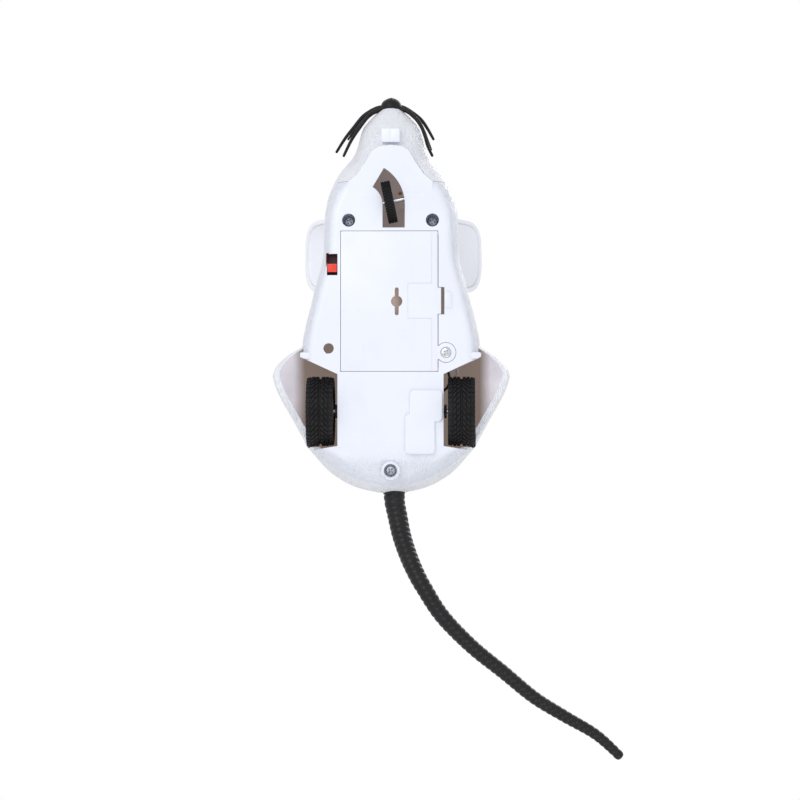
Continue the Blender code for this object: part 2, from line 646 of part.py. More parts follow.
def make_screw(name, x, y, low, head_r, head_h, shank_r, top):
    """A screw with its head at the bottom and a cross recess in it."""
    profile = ((0, top), (shank_r, top), (shank_r, low + head_h), (head_r, low + head_h),
               (head_r, low + 0.0002), (head_r * 0.8, low), (0, low))
    screw = turned(name + "_form", profile, (x, y, 0), 16, "Z")
    arm, slot = head_r * 0.62, head_r * 0.14
    depth = (low - 0.001, low + head_h * 0.6)
    cross = box(name + "_cross_x", (x - arm, x + arm), (y - slot, y + slot), depth)
    join(cross, box(name + "_cross_y", (x - slot, x + slot), (y - arm, y + arm), depth))
    return publish(cut(screw, cross), name, STEEL, 0.3, 1.0)


def make_batteries():
    middle = (BAY_X[0] + BAY_X[1]) / 2
    start = (BAY_Y[0] + BAY_Y[1] - CELL_LENGTH) / 2
    z = FLOOR_Z + DOOR_T + 0.0006 + CELL_R
    for k in range(3):
        way = 1 if k % 2 else -1
        centre = start + CELL_LENGTH / 2
        half = CELL_LENGTH / 2
        profile = [(0, half), (0.0026, half), (0.0026, half - 0.0012), (0.0066, half - 0.0012),
                   (CELL_R, half - 0.0017), (CELL_R, -half + 0.0004), (0.0066, -half), (0, -half)]
        if way < 0:
            profile = [(radius, -along) for radius, along in reversed(profile)]
        cell = turned(f"cell_form_{k + 1}", profile, (middle + (k - 1) * CELL_PITCH, centre, z), 20, "Y")
        publish(cell, f"battery_cell_{k + 1}", CELL_GOLD if k % 2 else CELL_BLUE, 0.35, 0.3)
    for name, y in (("front", BAY_Y[0] + 0.0004), ("rear", BAY_Y[1] - 0.0010)):
        plate = bevel(box(f"contact_form_{name}", (BAY_X[0] + 0.0012, BAY_X[1] - 0.0012), (y, y + 0.0006),
                          (z - 0.0058, z + 0.0058)), 0.0002)
        publish(plate, f"battery_contact_{name}", STEEL, 0.3, 1.0, round_piece=False)


# --- Fasteners, switch and electrics ---


def make_case_screws():
    for side, (x, y, ceiling) in CASE_SCREWS.items():
        make_screw(f"case_screw_{side}", x, y, ceiling - 0.0019, SCREW_HEAD_R, 0.0016, SCREW_R, 0.0245)


def make_switch():
    body = box("switch_form", (SWITCH_X - 0.0012, SWITCH_X + 0.0021), (-0.0200, -0.0090), (0.0122, 0.0162))
    pins = [rod(f"switch_pin_{k}", (SWITCH_X + 0.0005, -0.0175 + 0.003 * k, 0.0158),
                (SWITCH_X + 0.0005, -0.0175 + 0.003 * k, 0.0184), 0.0004, 8) for k in range(3)]
    publish(join(body, *pins), "switch_body", STEEL, 0.35, 0.8, round_piece=False)
    knob = box("knob_form", (SWITCH_X - KNOB_HALF[0], SWITCH_X + KNOB_HALF[0]),
               (SWITCH_Y - KNOB_HALF[1], SWITCH_Y + KNOB_HALF[1]), (0.0046, 0.0118))
    for k in (-1, 0, 1):
        cut(knob, box(f"knob_groove_{k}", (SWITCH_X - 0.003, SWITCH_X + 0.003),
                      (SWITCH_Y + 0.0011 * k - 0.0002, SWITCH_Y + 0.0011 * k + 0.0002), (0.0, 0.0050)))
    publish(knob, "switch_knob", RED, 0.35, round_piece=False)
    on_axis("switch_rail", (SWITCH_X, SWITCH_Y, 0.0118), knob)


def make_circuit_board():
    low = BAY_TOP + BAY_WALL + 0.0006
    board = box("board_form", (-0.0170, 0.0170), (-0.0080, 0.0180), (low, low + 0.0012))
    join(
        board,
        box("board_chip", (-0.0060, 0.0030), (-0.0030, 0.0030), (low + 0.001, low + 0.0030)),
        rod("board_capacitor", (0.0110, 0.0110, low + 0.001), (0.0110, 0.0110, low + 0.0085), 0.0026, 14),
        box("board_transistor", (-0.0130, -0.0085), (0.0080, 0.0105), (low + 0.001, low + 0.0052)),
    )
    publish(board, "circuit_board", GREEN, 0.4, round_piece=False)


def make_wires():
    black = ((0.0170, 0.0100, 0.0300), (0.0215, 0.0220, 0.0292), (0.0254, 0.0320, 0.0262),
             (0.0266, 0.0375, 0.0262), (0.0240, 0.0420, 0.0285), (0.0150, 0.0455, 0.0345),
             (0.0020, 0.0500, 0.0372), (-0.0120, 0.0560, 0.0362), (-0.0215, 0.0600, 0.0325),
             (-0.0228, 0.0605, 0.0290))
    white = ((0.0170, 0.0060, 0.0310), (0.0250, 0.0200, 0.0325), (0.0295, 0.0300, 0.0330),
             (0.0296, 0.0360, 0.0335), (0.0250, 0.0410, 0.0352), (0.0150, 0.0440, 0.0382),
             (0.0010, 0.0480, 0.0396), (-0.0130, 0.0590, 0.0380), (-0.0235, 0.0655, 0.0320),
             (-0.0230, 0.0660, 0.0275))
    for name, points, colour in (("wire_black", black, BLACK), ("wire_white", white, WHITE)):
        route = [(*place, 0.0006) for place in smooth_route(points, 3)]
        tube(name, route, colour, 1)


# --- Rear drive ---


def gear_outline(teeth, shift=0.0):
    """Points of a spur gear's outline in its own plane, a tooth centred on the angle shift."""
    tip, root = MODULE * (teeth / 2 + 0.70), MODULE * (teeth / 2 - 1.15)
    pitch = 2 * math.pi / teeth
    points = []
    for k in range(teeth):
        middle = shift + k * pitch
        for radius, part in ((root, -0.20), (tip, -0.09), (tip, 0.09), (root, 0.20)):
            angle = middle + part * pitch
            points.append((radius * math.cos(angle), radius * math.sin(angle)))
    return points


def gear(name, teeth, x, y, z, shift):
    """A spur gear between two x values, with its tooth angle measured from +Y towards +Z."""
    outline = gear_outline(teeth, shift)
    obj = prism(name, outline, x[0], x[1])
    obj.matrix_world = Matrix.Translation((0, y, z)) @ Matrix(
        ((0, 0, 1, 0), (1, 0, 0, 0), (0, 1, 0, 0), (0, 0, 0, 1))
    )
    return obj


def meshing_shift(teeth, mate_teeth, mate_shift, angle):
    """Tooth angle that puts a gap of this gear where its mate, at the angle given, has a tooth."""
    mate_phase = ((angle - mate_shift) / (2 * math.pi / mate_teeth)) % 1.0
    return angle + math.pi + (mate_phase + 0.5) * (2 * math.pi / teeth)


def make_drive():
    axle = (AXLE_Y, AXLE_Z)
    to_idler = math.atan2(IDLER_Z - AXLE_Z, IDLER_Y - AXLE_Y)
    to_motor = math.atan2(MOTOR_Z - IDLER_Z, MOTOR_Y - IDLER_Y)
    small_shift = meshing_shift(SMALL_TEETH, AXLE_TEETH, 0.0, to_idler)
    pinion_shift = meshing_shift(PINION_TEETH, BIG_TEETH, 0.0, to_motor)

    axle_gear = gear("axle_gear_form", AXLE_TEETH, (0.0155, 0.0185), *axle, 0.0)
    join(axle_gear, rod("axle_gear_boss", (0.0145, *axle), (0.0195, *axle), 0.0030, 16))
    cut(axle_gear, rod("axle_gear_bore", (0.01, *axle), (0.03, *axle), AXLE_R + GAP, 12))
    publish(axle_gear, "axle_gear", NYLON, 0.4, round_piece=False)

    idler = (IDLER_Y, IDLER_Z)
    compound = gear("compound_form", BIG_TEETH, (0.0090, 0.0120), *idler, 0.0)
    join(compound, gear("compound_small", SMALL_TEETH, (0.0115, 0.0196), *idler, small_shift))
    cut(compound, rod("compound_bore", (0.0, *idler), (0.03, *idler), 0.0011, 12))
    publish(compound, "compound_gear", NYLON, 0.4, round_piece=False)
    publish(rod("compound_shaft_form", (0.0055, *idler), (0.0218, *idler), 0.0008, 12),
            "compound_gear_shaft", STEEL, 0.3, 1.0)

    motor_at = (MOTOR_Y, MOTOR_Z)
    can = rod("motor_form", (-0.0200, *motor_at), (0.0050, *motor_at), 0.0100, 28)
    for k, z in enumerate((MOTOR_Z - 0.02, MOTOR_Z + 0.00755)):
        cut(can, box(f"motor_flat_{k}", (-0.03, 0.02), (MOTOR_Y - 0.02, MOTOR_Y + 0.02), (z, z + 0.01245)))
    cut(can, rod("motor_bore", (-0.0020, *motor_at), (0.01, *motor_at), 0.0014, 12))
    join(can, rod("motor_end_boss", (-0.0216, *motor_at), (-0.0195, *motor_at), 0.0030, 14))
    publish(can, "motor", STEEL, 0.3, 1.0)
    shaft = publish(rod("motor_shaft_form", (-0.0010, *motor_at), (0.0128, *motor_at), 0.0010, 12),
                    "motor_shaft", STEEL, 0.25, 1.0)
    pinion = gear("pinion_form", PINION_TEETH, (0.0086, 0.0122), *motor_at, pinion_shift)
    cut(pinion, rod("pinion_bore", (0.0, *motor_at), (0.03, *motor_at), 0.0010 + GAP, 10))
    publish(pinion, "motor_pinion", BRASS, 0.3, 1.0, round_piece=False)

    frame = box("frame_form", (0.0060, 0.0074), (0.0540, 0.0700), (0.0088, 0.0350))
    join(
        frame,
        box("frame_far_plate", (0.0206, 0.0218), (0.0600, 0.0680), (0.0078, 0.0350)),
        box("frame_bridge", (0.0060, 0.0218), (0.0600, 0.0680), (0.0336, 0.0350)),
    )
    cut(
        frame,
        rod("frame_shaft_hole", (0.0, *idler), (0.03, *idler), 0.00112, 12),
        rod("frame_motor_hole", (0.0, *motor_at), (0.0150, *motor_at), 0.0032, 16),
    )
    publish(frame, "gearbox_frame", NYLON, 0.45, round_piece=False)

    rear_axle = publish(rod("rear_axle_form", (-AXLE_HALF, *axle), (AXLE_HALF, *axle), AXLE_R, 14),
                        "rear_axle", STEEL, 0.25, 1.0)
    riders = [axle_gear, rear_axle]
    for side, name in ((-1, "left"), (1, "right")):
        half = TYRE_WIDTH / 2
        tyre = turned(f"tyre_form_{name}", (
            (TYRE_R - 0.0012, half), (TYRE_R, half - 0.0014), (TYRE_R, -half + 0.0014),
            (TYRE_R - 0.0012, -half), (HUB_R + GAP, -half), (HUB_R + GAP, half)),
            (side * TYRE_X, *axle), 32)
        riders.append(publish(tyre, f"rear_tyre_{name}", BLACK, 0.7))
        hub = turned(f"hub_form_{name}", (
            (HUB_R, half - 0.0010), (HUB_R, -half + 0.0010), (HUB_R - 0.0015, -half + 0.0010),
            (HUB_R - 0.0015, -0.0010), (0.0035, -0.0010), (0.0030, -half + 0.0004),
            (AXLE_R + GAP, -half + 0.0004), (AXLE_R + GAP, half - 0.0004), (0.0030, half - 0.0004),
            (0.0035, 0.0010), (HUB_R - 0.0015, 0.0010),
            (HUB_R - 0.0015, half - 0.0010)), (side * TYRE_X, *axle), 28)
        riders.append(publish(hub, f"rear_hub_{name}", WHITE, 0.4))
        flange = (side * (WELL_X + 0.0003), side * (WELL_X + 0.0014))
        bush = rod(f"bush_form_{name}", (side * 0.0216, *axle), (flange[1], *axle), 0.0020, 14)
        join(bush, rod(f"bush_flange_{name}", (flange[0], *axle), (flange[1], *axle), 0.00315, 18))
        cut(bush, rod(f"bush_bore_{name}", (side * 0.02, *axle), (side * 0.03, *axle),
                      AXLE_R + 0.00035, 12))
        publish(bush, f"axle_bush_{name}", BLACK, 0.5)
    on_axis("drive_axis", (0, *axle), *riders)
    on_axis("idler_axis", (0, *idler), compound)
    on_axis("motor_axis", (0, *motor_at), shaft, pinion)


# --- Front wheel ---


def make_steering():
    c, s = math.cos(STEER), math.sin(STEER)
    away = Vector((WHEEL_X - PIVOT_X, WHEEL_Y - PIVOT_Y))
    along = away.x * c - away.y * s
    across = away.x * s + away.y * c
    near = (along - WHEEL_WIDTH / 2 - 0.0020, along - WHEEL_WIDTH / 2 - 0.0006)
    far = (SLOT_OUTER + 0.0010, SLOT_OUTER + 0.0024)
    span = (across - 0.0030, across + 0.0030)
    hub_low, arm_top, crown = 0.0086, 0.0140, 0.0221
    arm = rod("arm_form", (PIVOT_X, PIVOT_Y, hub_low), (PIVOT_X, PIVOT_Y, arm_top), 0.0042, 20)
    join(
        arm,
        steered_box("arm_lever", (0.0, near[1] - 0.0004), (-0.0028, 0.0028), (0.0110, arm_top - 0.0003)),
        steered_box("arm_near_cheek", near, span, (ARM_LOW, crown - 0.0005)),
        steered_box("arm_far_cheek", far, span, (ARM_LOW, crown - 0.0005)),
        steered_box("arm_crown", (near[0] - 0.0003, far[1] + 0.0003), (span[0] - 0.0003, span[1] + 0.0003),
                    (crown - 0.0016, crown)),
    )
    axle_start = steered(near[0] - 0.0006, across, WHEEL_R)
    axle_end = steered(far[1] + 0.0004, across, WHEEL_R)
    cut(
        arm,
        rod("arm_pivot_bore", (PIVOT_X, PIVOT_Y, 0.0), (PIVOT_X, PIVOT_Y, 0.03), 0.0024, 16),
        rod("arm_axle_bore", steered(near[0] - 0.002, across, WHEEL_R), steered(0.03, across, WHEEL_R),
            0.00125, 12),
    )
    publish(arm, "steering_arm", TAUPE, 0.5)
    front_axle = rod("front_axle_form", axle_start, axle_end, 0.0009, 12)
    publish(front_axle, "front_axle", STEEL, 0.25, 1.0)
    middle = Vector(steered(along, across, WHEEL_R))
    half = WHEEL_WIDTH / 2
    tyre = turned("front_tyre_form", (
        (WHEEL_R - 0.0005, half), (WHEEL_R, half - 0.0006), (WHEEL_R, -half + 0.0006),
        (WHEEL_R - 0.0005, -half), (0.0069, -half), (0.0069, half)), middle, 28)
    hub = turned("front_hub_form", ring_profile(0.00125, 0.0066, half - 0.0002), middle, 20)
    for piece in (tyre, hub):
        piece.rotation_euler = (0, math.pi / 2, -STEER)
    publish(tyre, "front_tyre", BLACK, 0.65)
    publish(hub, "front_hub", BLACK, 0.5)
    head = turned("pivot_screw_form", ((0, 0.0162), (0.0030, 0.0160), (0.0034, 0.0146), (0.0010, 0.0146),
                  (0.0009, 0.0095), (0, 0.0095)), (PIVOT_X, PIVOT_Y, 0), 16, "Z")
    publish(head, "steering_pivot_screw", ZINC, 0.35, 1.0)
    plate = box("slot_plate_form", PLATE_X, PLATE_Y, PLATE_Z)
    cut(plate, *[rod(f"plate_hole_{k}", (x, y, PLATE_Z[0] - 0.001), (x, y, PLATE_Z[1] + 0.001), 0.0006, 12)
                 for k, (x, y) in enumerate(PLATE_HOLES)])
    publish(plate, "slot_plate", TAUPE, 0.5, round_piece=False)
    on_axis("steering_axis", (PIVOT_X, PIVOT_Y, 0), arm, front_axle)
    on_axis("front_wheel_axis", middle, tyre, hub)


def main():
    shapes = mouse_shapes()
    make_upper_shell(shapes)
    make_chassis(shapes)
    make_face(shapes)
    make_ears(shapes)
    make_tail()
    make_door()
    make_batteries()
    make_case_screws()
    make_switch()
    make_circuit_board()
    make_wires()
    make_drive()
    make_steering()


main()
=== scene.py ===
"""Looks of a battery-driven toy mouse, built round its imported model.

Fur-moulded shell, chassis, battery door, geared rear wheels, steered front wheel and ribbed rubber
tail. Metres, +Z up, nose towards -Y."""

import math

import bmesh
import bpy
from bpy.props import FloatProperty, FloatVectorProperty, IntProperty, PointerProperty
from mathutils import Matrix, Vector, noise


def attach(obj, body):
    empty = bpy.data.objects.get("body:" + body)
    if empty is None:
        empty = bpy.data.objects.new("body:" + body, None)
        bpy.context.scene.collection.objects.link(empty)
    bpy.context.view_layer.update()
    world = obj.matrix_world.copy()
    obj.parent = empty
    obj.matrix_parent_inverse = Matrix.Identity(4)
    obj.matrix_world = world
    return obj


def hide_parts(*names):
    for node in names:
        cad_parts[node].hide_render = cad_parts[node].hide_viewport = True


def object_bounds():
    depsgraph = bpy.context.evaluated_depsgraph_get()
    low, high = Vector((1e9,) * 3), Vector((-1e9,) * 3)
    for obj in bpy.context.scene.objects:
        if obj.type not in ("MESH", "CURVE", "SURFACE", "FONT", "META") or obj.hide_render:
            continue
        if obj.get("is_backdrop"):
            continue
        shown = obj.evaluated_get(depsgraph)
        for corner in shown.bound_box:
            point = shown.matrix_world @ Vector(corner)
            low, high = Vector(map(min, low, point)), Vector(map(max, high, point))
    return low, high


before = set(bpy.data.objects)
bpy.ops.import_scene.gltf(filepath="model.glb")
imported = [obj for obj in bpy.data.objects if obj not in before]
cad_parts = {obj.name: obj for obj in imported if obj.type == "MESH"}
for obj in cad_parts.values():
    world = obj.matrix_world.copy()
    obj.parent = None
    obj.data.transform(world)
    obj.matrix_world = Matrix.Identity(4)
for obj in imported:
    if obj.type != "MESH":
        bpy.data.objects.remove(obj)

bl_info = {
    "name": "Toy Mouse Builder",
    "version": (1, 0, 0),
    "blender": (4, 5, 0),
    "location": "3D View > Sidebar > Toy Mouse",
    "description": "Builds the pieces and finishes of a battery-driven toy mouse",
    "category": "Object",
}

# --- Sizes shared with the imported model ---

HULL = (
    (-0.0864, 0.0042, 0.0245, 0.0155, 0.0042),
    (-0.0815, 0.0096, 0.0286, 0.0120, 0.0096),
    (-0.0774, 0.0129, 0.0320, 0.0100, 0.0129),
    (-0.0657, 0.0168, 0.0396, 0.0078, 0.0130),
    (-0.0558, 0.0242, 0.0452, 0.0064, 0.0110),
    (-0.0450, 0.0289, 0.0504, 0.0050, 0.0085),
    (-0.0360, 0.0304, 0.0540, 0.0050, 0.0065),
    (-0.0220, 0.0308, 0.0586, 0.0050, 0.0060),
    (0.0000, 0.0358, 0.0638, 0.0050, 0.0060),
    (0.0216, 0.0405, 0.0668, 0.0050, 0.0065),
    (0.0400, 0.0415, 0.0664, 0.0050, 0.0070),
    (0.0576, 0.0410, 0.0620, 0.0050, 0.0080),
    (0.0660, 0.0393, 0.0562, 0.0054, 0.0110),
    (0.0720, 0.0347, 0.0500, 0.0062, 0.0140),
    (0.0792, 0.0281, 0.0410, 0.0084, 0.0180),
    (0.0840, 0.0210, 0.0344, 0.0110, 0.0190),
    (0.0870, 0.0136, 0.0290, 0.0146, 0.0136),
    (0.0886, 0.0060, 0.0250, 0.0180, 0.0060),
)
HULL_END = 0.0891
WIDEST_ABOVE_BOTTOM = 0.0145
CROWN = 0.91
HAUNCH, HAUNCH_Y, HAUNCH_FRONT, HAUNCH_REAR = 0.0126, 0.036, 0.0135, 0.0296
HAUNCH_TOP = (0.024, 0.050)
WALL, GAP, PART_Z, FLOOR_Z = 0.0018, 0.0003, 0.0122, 0.005
DECK_Z = FLOOR_Z + WALL
AXLE_Y, AXLE_Z, AXLE_R = 0.05175, 0.0158, 0.001
TYRE_R, TYRE_WIDTH, TYRE_X, HUB_R = 0.0158, 0.0121, 0.0320, 0.0105
WELL_X, WELL_WALL, WELL_TOP = 0.0239, 0.0015, 0.021
PIVOT_X, PIVOT_Y = -0.0128, -0.0414
STEER = math.radians(11.5)
# Painted shade: the grey-brown that stands for the shade deep inside the shell's lining.
PAINTED_SHADE_TAUPE = (0.285, 0.225, 0.195, 1.0)
CAMERA_AIM, CAMERA_FOOT = (0.0043, 0.0468), (0.029, 0.074)
WHEEL_X, WHEEL_Y, WHEEL_R, WHEEL_WIDTH = -0.0007, -0.0429, 0.0098, 0.0045
SLOT_INNER, SLOT_OUTER, SLOT_AHEAD = 0.0092, 0.0193, math.radians(59.4)
SLOT_X, SLOT_END, TONGUE_END = (-0.0036, 0.0064), -0.0310, -0.0470
PLATE_X, PLATE_Y, PLATE_Z = (-0.0145, 0.0122), (-0.0610, -0.0300), (0.0226, 0.0236)
DOOR_X, DOOR_Y, DOOR_T, DOOR_GAP = (-0.0224, 0.0213), (-0.0294, 0.0338), 0.0016, 0.0004
BAY_X, BAY_Y, BAY_TOP, BAY_WALL = (-0.0226, 0.0216), (-0.0278, 0.0322), 0.0226, 0.0012
PAD_X, PAD_Y = (0.0077, 0.0187), (-0.0060, 0.0101)
LUG_X, LUG_Y, LUG_R = 0.0250, 0.0254, 0.0044
LATCH_Y, LATCH_X, SLIT_X = (-0.0039, 0.0080), 0.0228, 0.0243
SWITCH_X, SWITCH_Y, KNOB_HALF = -0.0263, -0.0128, (0.0021, 0.00185)
SWITCH_SLOT = ((-0.0287, -0.0239), (-0.0192, -0.0095))
# Case screws: x, y, ceiling of the well that each head sits in.
CASE_SCREWS = {"left": (-0.0189, -0.0344, 0.0145), "right": (0.0189, -0.0344, 0.0145),
               "rear": (0.0, 0.0786, 0.0098)}
WELL_R, SCREW_HEAD_R, SCREW_R = 0.0030, 0.0022, 0.0013
EAR_CENTRE = Vector((0.0306, -0.0219, 0.0520))
EAR_HALF_LENGTH, EAR_HALF_HEIGHT, EAR_SQUARE = 0.0173, 0.0166, 3.6
EAR_TILT, EAR_WALL = math.radians(40), 0.0018
EYE_CENTRE, EYE_R = Vector((0.0168, -0.0585, 0.0355)), 0.0036
TAIL_X, TAIL_Z = 0.0013, 0.0215
TAIL_ROUTE = (
    (0.0013, 0.0895, 0.0215, 0.0049), (0.0017, 0.0940, 0.0213, 0.0047), (0.0027, 0.0986, 0.0203, 0.0046),
    (0.0046, 0.1073, 0.0165, 0.0044), (0.0074, 0.1157, 0.0116, 0.0042), (0.0108, 0.1235, 0.0072, 0.0040),
    (0.0149, 0.1310, 0.0046, 0.0038), (0.0234, 0.1440, 0.0038, 0.0036), (0.0365, 0.1574, 0.0036, 0.0034),
    (0.0506, 0.1688, 0.0034, 0.0032), (0.0644, 0.1801, 0.0031, 0.0030), (0.0779, 0.1884, 0.0029, 0.0028),
    (0.0921, 0.1967, 0.0027, 0.0025), (0.1028, 0.2063, 0.0025, 0.0022),
)


# --- Settings that a user would change ---


def colour_property(label, text, value):
    return FloatVectorProperty(
        name=label, description=text, default=value, min=0.0, max=1.0, size=3, subtype="COLOR"
    )


def length_property(label, text, value, low=0.0, high=1.0):
    return FloatProperty(
        name=label, description=text, default=value, min=low, max=high, precision=5, unit="LENGTH",
        subtype="DISTANCE",
    )


class MouseColours(bpy.types.PropertyGroup):
    shell: colour_property("Shell", "White plastic of the fur-moulded upper shell", (0.86, 0.88, 0.95))
    chassis: colour_property("Chassis", "White plastic of the chassis and the door", (0.79, 0.825, 0.925))
    lining: colour_property("Lining", "Inside of the shell's plastic", (0.84, 0.82, 0.89))
    rubber: colour_property("Rubber", "Black rubber of the tail, nose and whiskers", (0.012, 0.012, 0.014))
    tyre: colour_property("Tyre", "Black tyre compound", (0.011, 0.011, 0.013))
    knob: colour_property("Knob", "Red plastic of the switch knob", (0.86, 0.055, 0.03))
    # Painted shade: this grey-brown stands for the shade on white plastic inside the front slot, on the
    # slot plate, the steering arm and the chassis's inner faces.
    painted_shade_taupe: colour_property("Bracket", "Grey-brown plastic inside the front slot", (0.250, 0.208, 0.200))
    zinc: colour_property("Zinc", "Blue-grey plating of the case screws", (0.52, 0.55, 0.61))
    steel: colour_property("Steel", "Bright steel of axles, contacts and the door screw",
                           (0.66, 0.67, 0.70))


class MouseFur(bpy.types.PropertyGroup):
    depth: length_property("Depth", "Depth of the moulded fur grooves", 0.00020, high=0.001)
    spacing: length_property("Spacing", "Distance between neighbouring grooves", 0.0017, 0.0005, 0.01)
    stroke: length_property("Stroke", "Length of one fur stroke", 0.0100, 0.001, 0.05)


class MouseTail(bpy.types.PropertyGroup):
    ribs: IntProperty(name="Ribs", description="Moulded rings along the tail", default=59, min=5, max=120)
    groove: length_property("Groove", "Depth of the groove between two ribs", 0.00040, high=0.002)


class MouseWheels(bpy.types.PropertyGroup):
    rear_lugs: IntProperty(name="Rear lugs", description="Chevrons round a rear tyre", default=38, min=8,
                           max=80)
    front_lugs: IntProperty(name="Front lugs", description="Tread blocks round the front tyre", default=44,
                            min=8, max=80)
    tread: length_property("Tread", "Height of the rear tread blocks", 0.0006, high=0.003)


class MouseStage(bpy.types.PropertyGroup):
    distance: length_property("Distance", "Camera distance below the mouse", 1.2, 0.3, 5.0)
    width: length_property("Width", "Width that the picture takes in at the chassis", 0.360, 0.05, 2.0)
    sky: FloatProperty(name="Sky", description="Strength of the even white light", default=0.86, min=0.0,
                       max=5.0)
    key: FloatProperty(name="Key", description="Power of the soft light under the mouse", default=4.0,
                       min=0.0,
                       max=50.0, unit="POWER")


# --- Shader node groups ---


def new_group(name, inputs, outputs):
    """A shader node group with named sockets: inputs as (name, kind, default), outputs as (name, kind)."""
    tree = bpy.data.node_groups.new(name, "ShaderNodeTree")
    for label, kind, value in inputs:
        socket = tree.interface.new_socket(label, in_out="INPUT", socket_type="NodeSocket" + kind)
        socket.default_value = (*value, 1.0) if kind == "Color" else value
    for label, kind in outputs:
        tree.interface.new_socket(label, in_out="OUTPUT", socket_type="NodeSocket" + kind)
    return tree, tree.nodes.new("NodeGroupInput"), tree.nodes.new("NodeGroupOutput")


def add(tree, kind, links=(), **settings):
    """A node of the kind, with its properties set and its inputs linked or given values."""
    item = tree.nodes.new("ShaderNode" + kind)
    for key, value in settings.items():
        setattr(item, key, value)
    for key, value in dict(links).items():
        if isinstance(value, bpy.types.NodeSocket):
            tree.links.new(value, item.inputs[key])
        else:
            item.inputs[key].default_value = value
    return item


def math_node(tree, operation, a, b=0.0, c=0.0):
    return add(tree, "Math", {0: a, 1: b, 2: c}, operation=operation).outputs[0]


def mix_colour(tree, factor, a, b, blend="MIX"):
    return add(tree, "Mix", {0: factor, 6: a, 7: b}, data_type="RGBA", blend_type=blend).outputs[2]


def ranged(tree, value, low, high, to_low, to_high):
    return add(tree, "MapRange", {0: value, 1: low, 2: high, 3: to_low, 4: to_high}).outputs[0]


def place_at(tree, scale=(1.0, 1.0, 1.0)):
    coordinates = add(tree, "TexCoord").outputs["Object"]
    return add(tree, "Mapping", {"Vector": coordinates, "Scale": scale}).outputs[0]


def grain_group():
    """Fine mould grain with a slow change of tint and gloss over the surface."""
    tree, given, out = new_group(
        "mould_grain",
        (("Color", "Color", (0.8, 0.8, 0.8)), ("Shade", "Color", (0.7, 0.7, 0.7)),
         ("Patches", "Float", 60.0),
         ("Grain", "Float", 2600.0), ("Smooth", "Float", 0.3), ("Rough", "Float", 0.5)),
        (("Color", "Color"), ("Roughness", "Float"), ("Height", "Float")),
    )
    place = place_at(tree)
    slow = add(tree, "TexNoise", {"Vector": place, "Scale": given.outputs["Patches"], "Detail": 4.0,
                                  "Roughness": 0.6}).outputs[0]
    fine = add(tree, "TexNoise",
               {"Vector": place, "Scale": given.outputs["Grain"], "Detail": 2.0}).outputs[0]
    mask = ranged(tree, slow, 0.35, 0.75, 0.0, 1.0)
    tint = mix_colour(tree, mask, given.outputs["Color"], given.outputs["Shade"])
    speck = ranged(tree, fine, 0.3, 0.7, 0.965, 1.0)
    tint = add(tree, "VectorMath", {0: tint, "Scale": speck}, operation="SCALE").outputs[0]
    span = math_node(tree, "SUBTRACT", given.outputs["Rough"], given.outputs["Smooth"])
    blend = math_node(tree, "ADD", math_node(tree, "MULTIPLY", slow, 0.6),
                      math_node(tree, "MULTIPLY", fine, 0.4))
    rough = math_node(tree, "MULTIPLY_ADD", span, blend, given.outputs["Smooth"])
    for label, value in (("Color", tint), ("Roughness", rough), ("Height", fine)):
        tree.links.new(value, out.inputs[label])
    return tree


def fur_group():
    """Thin hair strokes that run from nose to tail, as a height and as a faint painted shade in the
    grooves.
    """
    tree, given, out = new_group(
        "fur_strokes", (("Across", "Float", 1500.0), ("Along", "Float", 120.0)),
        (("Height", "Float"), ("Groove", "Float")),
    )
    stretch = add(tree, "CombineXYZ", {"X": given.outputs["Across"], "Y": given.outputs["Along"],
                                       "Z": given.outputs["Across"]}).outputs[0]
    place = add(tree, "TexCoord").outputs["Object"]
    bend = add(tree, "TexNoise", {"Vector": place, "Scale": 45.0, "Detail": 2.0}).outputs["Color"]
    bend = add(tree, "VectorMath", {0: bend, "Scale": 0.0035}, operation="SCALE").outputs[0]
    place = add(tree, "VectorMath", {0: place, 1: bend}, operation="ADD").outputs[0]
    place = add(tree, "VectorMath", {0: place, 1: stretch}, operation="MULTIPLY").outputs[0]
    hair = add(tree, "TexNoise",
               {"Vector": place, "Scale": 1.0, "Detail": 3.0, "Roughness": 0.55}).outputs[0]
    ridge = math_node(tree, "ABSOLUTE", math_node(tree, "SUBTRACT", hair, 0.5))
    height = ranged(tree, ridge, 0.0, 0.16, 0.0, 1.0)
    tree.links.new(height, out.inputs["Height"])
    # Mask of the painted shade in the grooves.
    tree.links.new(ranged(tree, ridge, 0.0, 0.05, 1.0, 0.0), out.inputs["Groove"])
    return tree


def scuff_group():
    """Hairline scuffs and rubbed patches, as a mask and a height."""
    tree, given, out = new_group(
        "scuffs", (("Across", "Float", 900.0), ("Along", "Float", 60.0), ("Amount", "Float", 0.5)),
        (("Mask", "Float"), ("Height", "Float")),
    )
    stretch = add(tree, "CombineXYZ", {"X": given.outputs["Across"], "Y": given.outputs["Along"],
                                       "Z": given.outputs["Across"]}).outputs[0]
    place = add(tree, "TexCoord").outputs["Object"]
    lines = add(tree, "VectorMath", {0: place, 1: stretch}, operation="MULTIPLY").outputs[0]
    lines = add(tree, "TexNoise", {"Vector": lines, "Scale": 1.0, "Detail": 2.0}).outputs[0]
    patch = add(tree, "TexNoise", {"Vector": place, "Scale": 110.0, "Detail": 4.0}).outputs[0]
    thin = ranged(tree, lines, 0.60, 0.72, 0.0, 1.0)
    rubbed = ranged(tree, patch, 0.48, 0.68, 0.0, 1.0)
    mask = math_node(tree, "MULTIPLY", math_node(tree, "MULTIPLY", thin, rubbed), given.outputs["Amount"])
    tree.links.new(mask, out.inputs["Mask"])
    tree.links.new(math_node(tree, "SUBTRACT", 1.0, mask), out.inputs["Height"])
    return tree


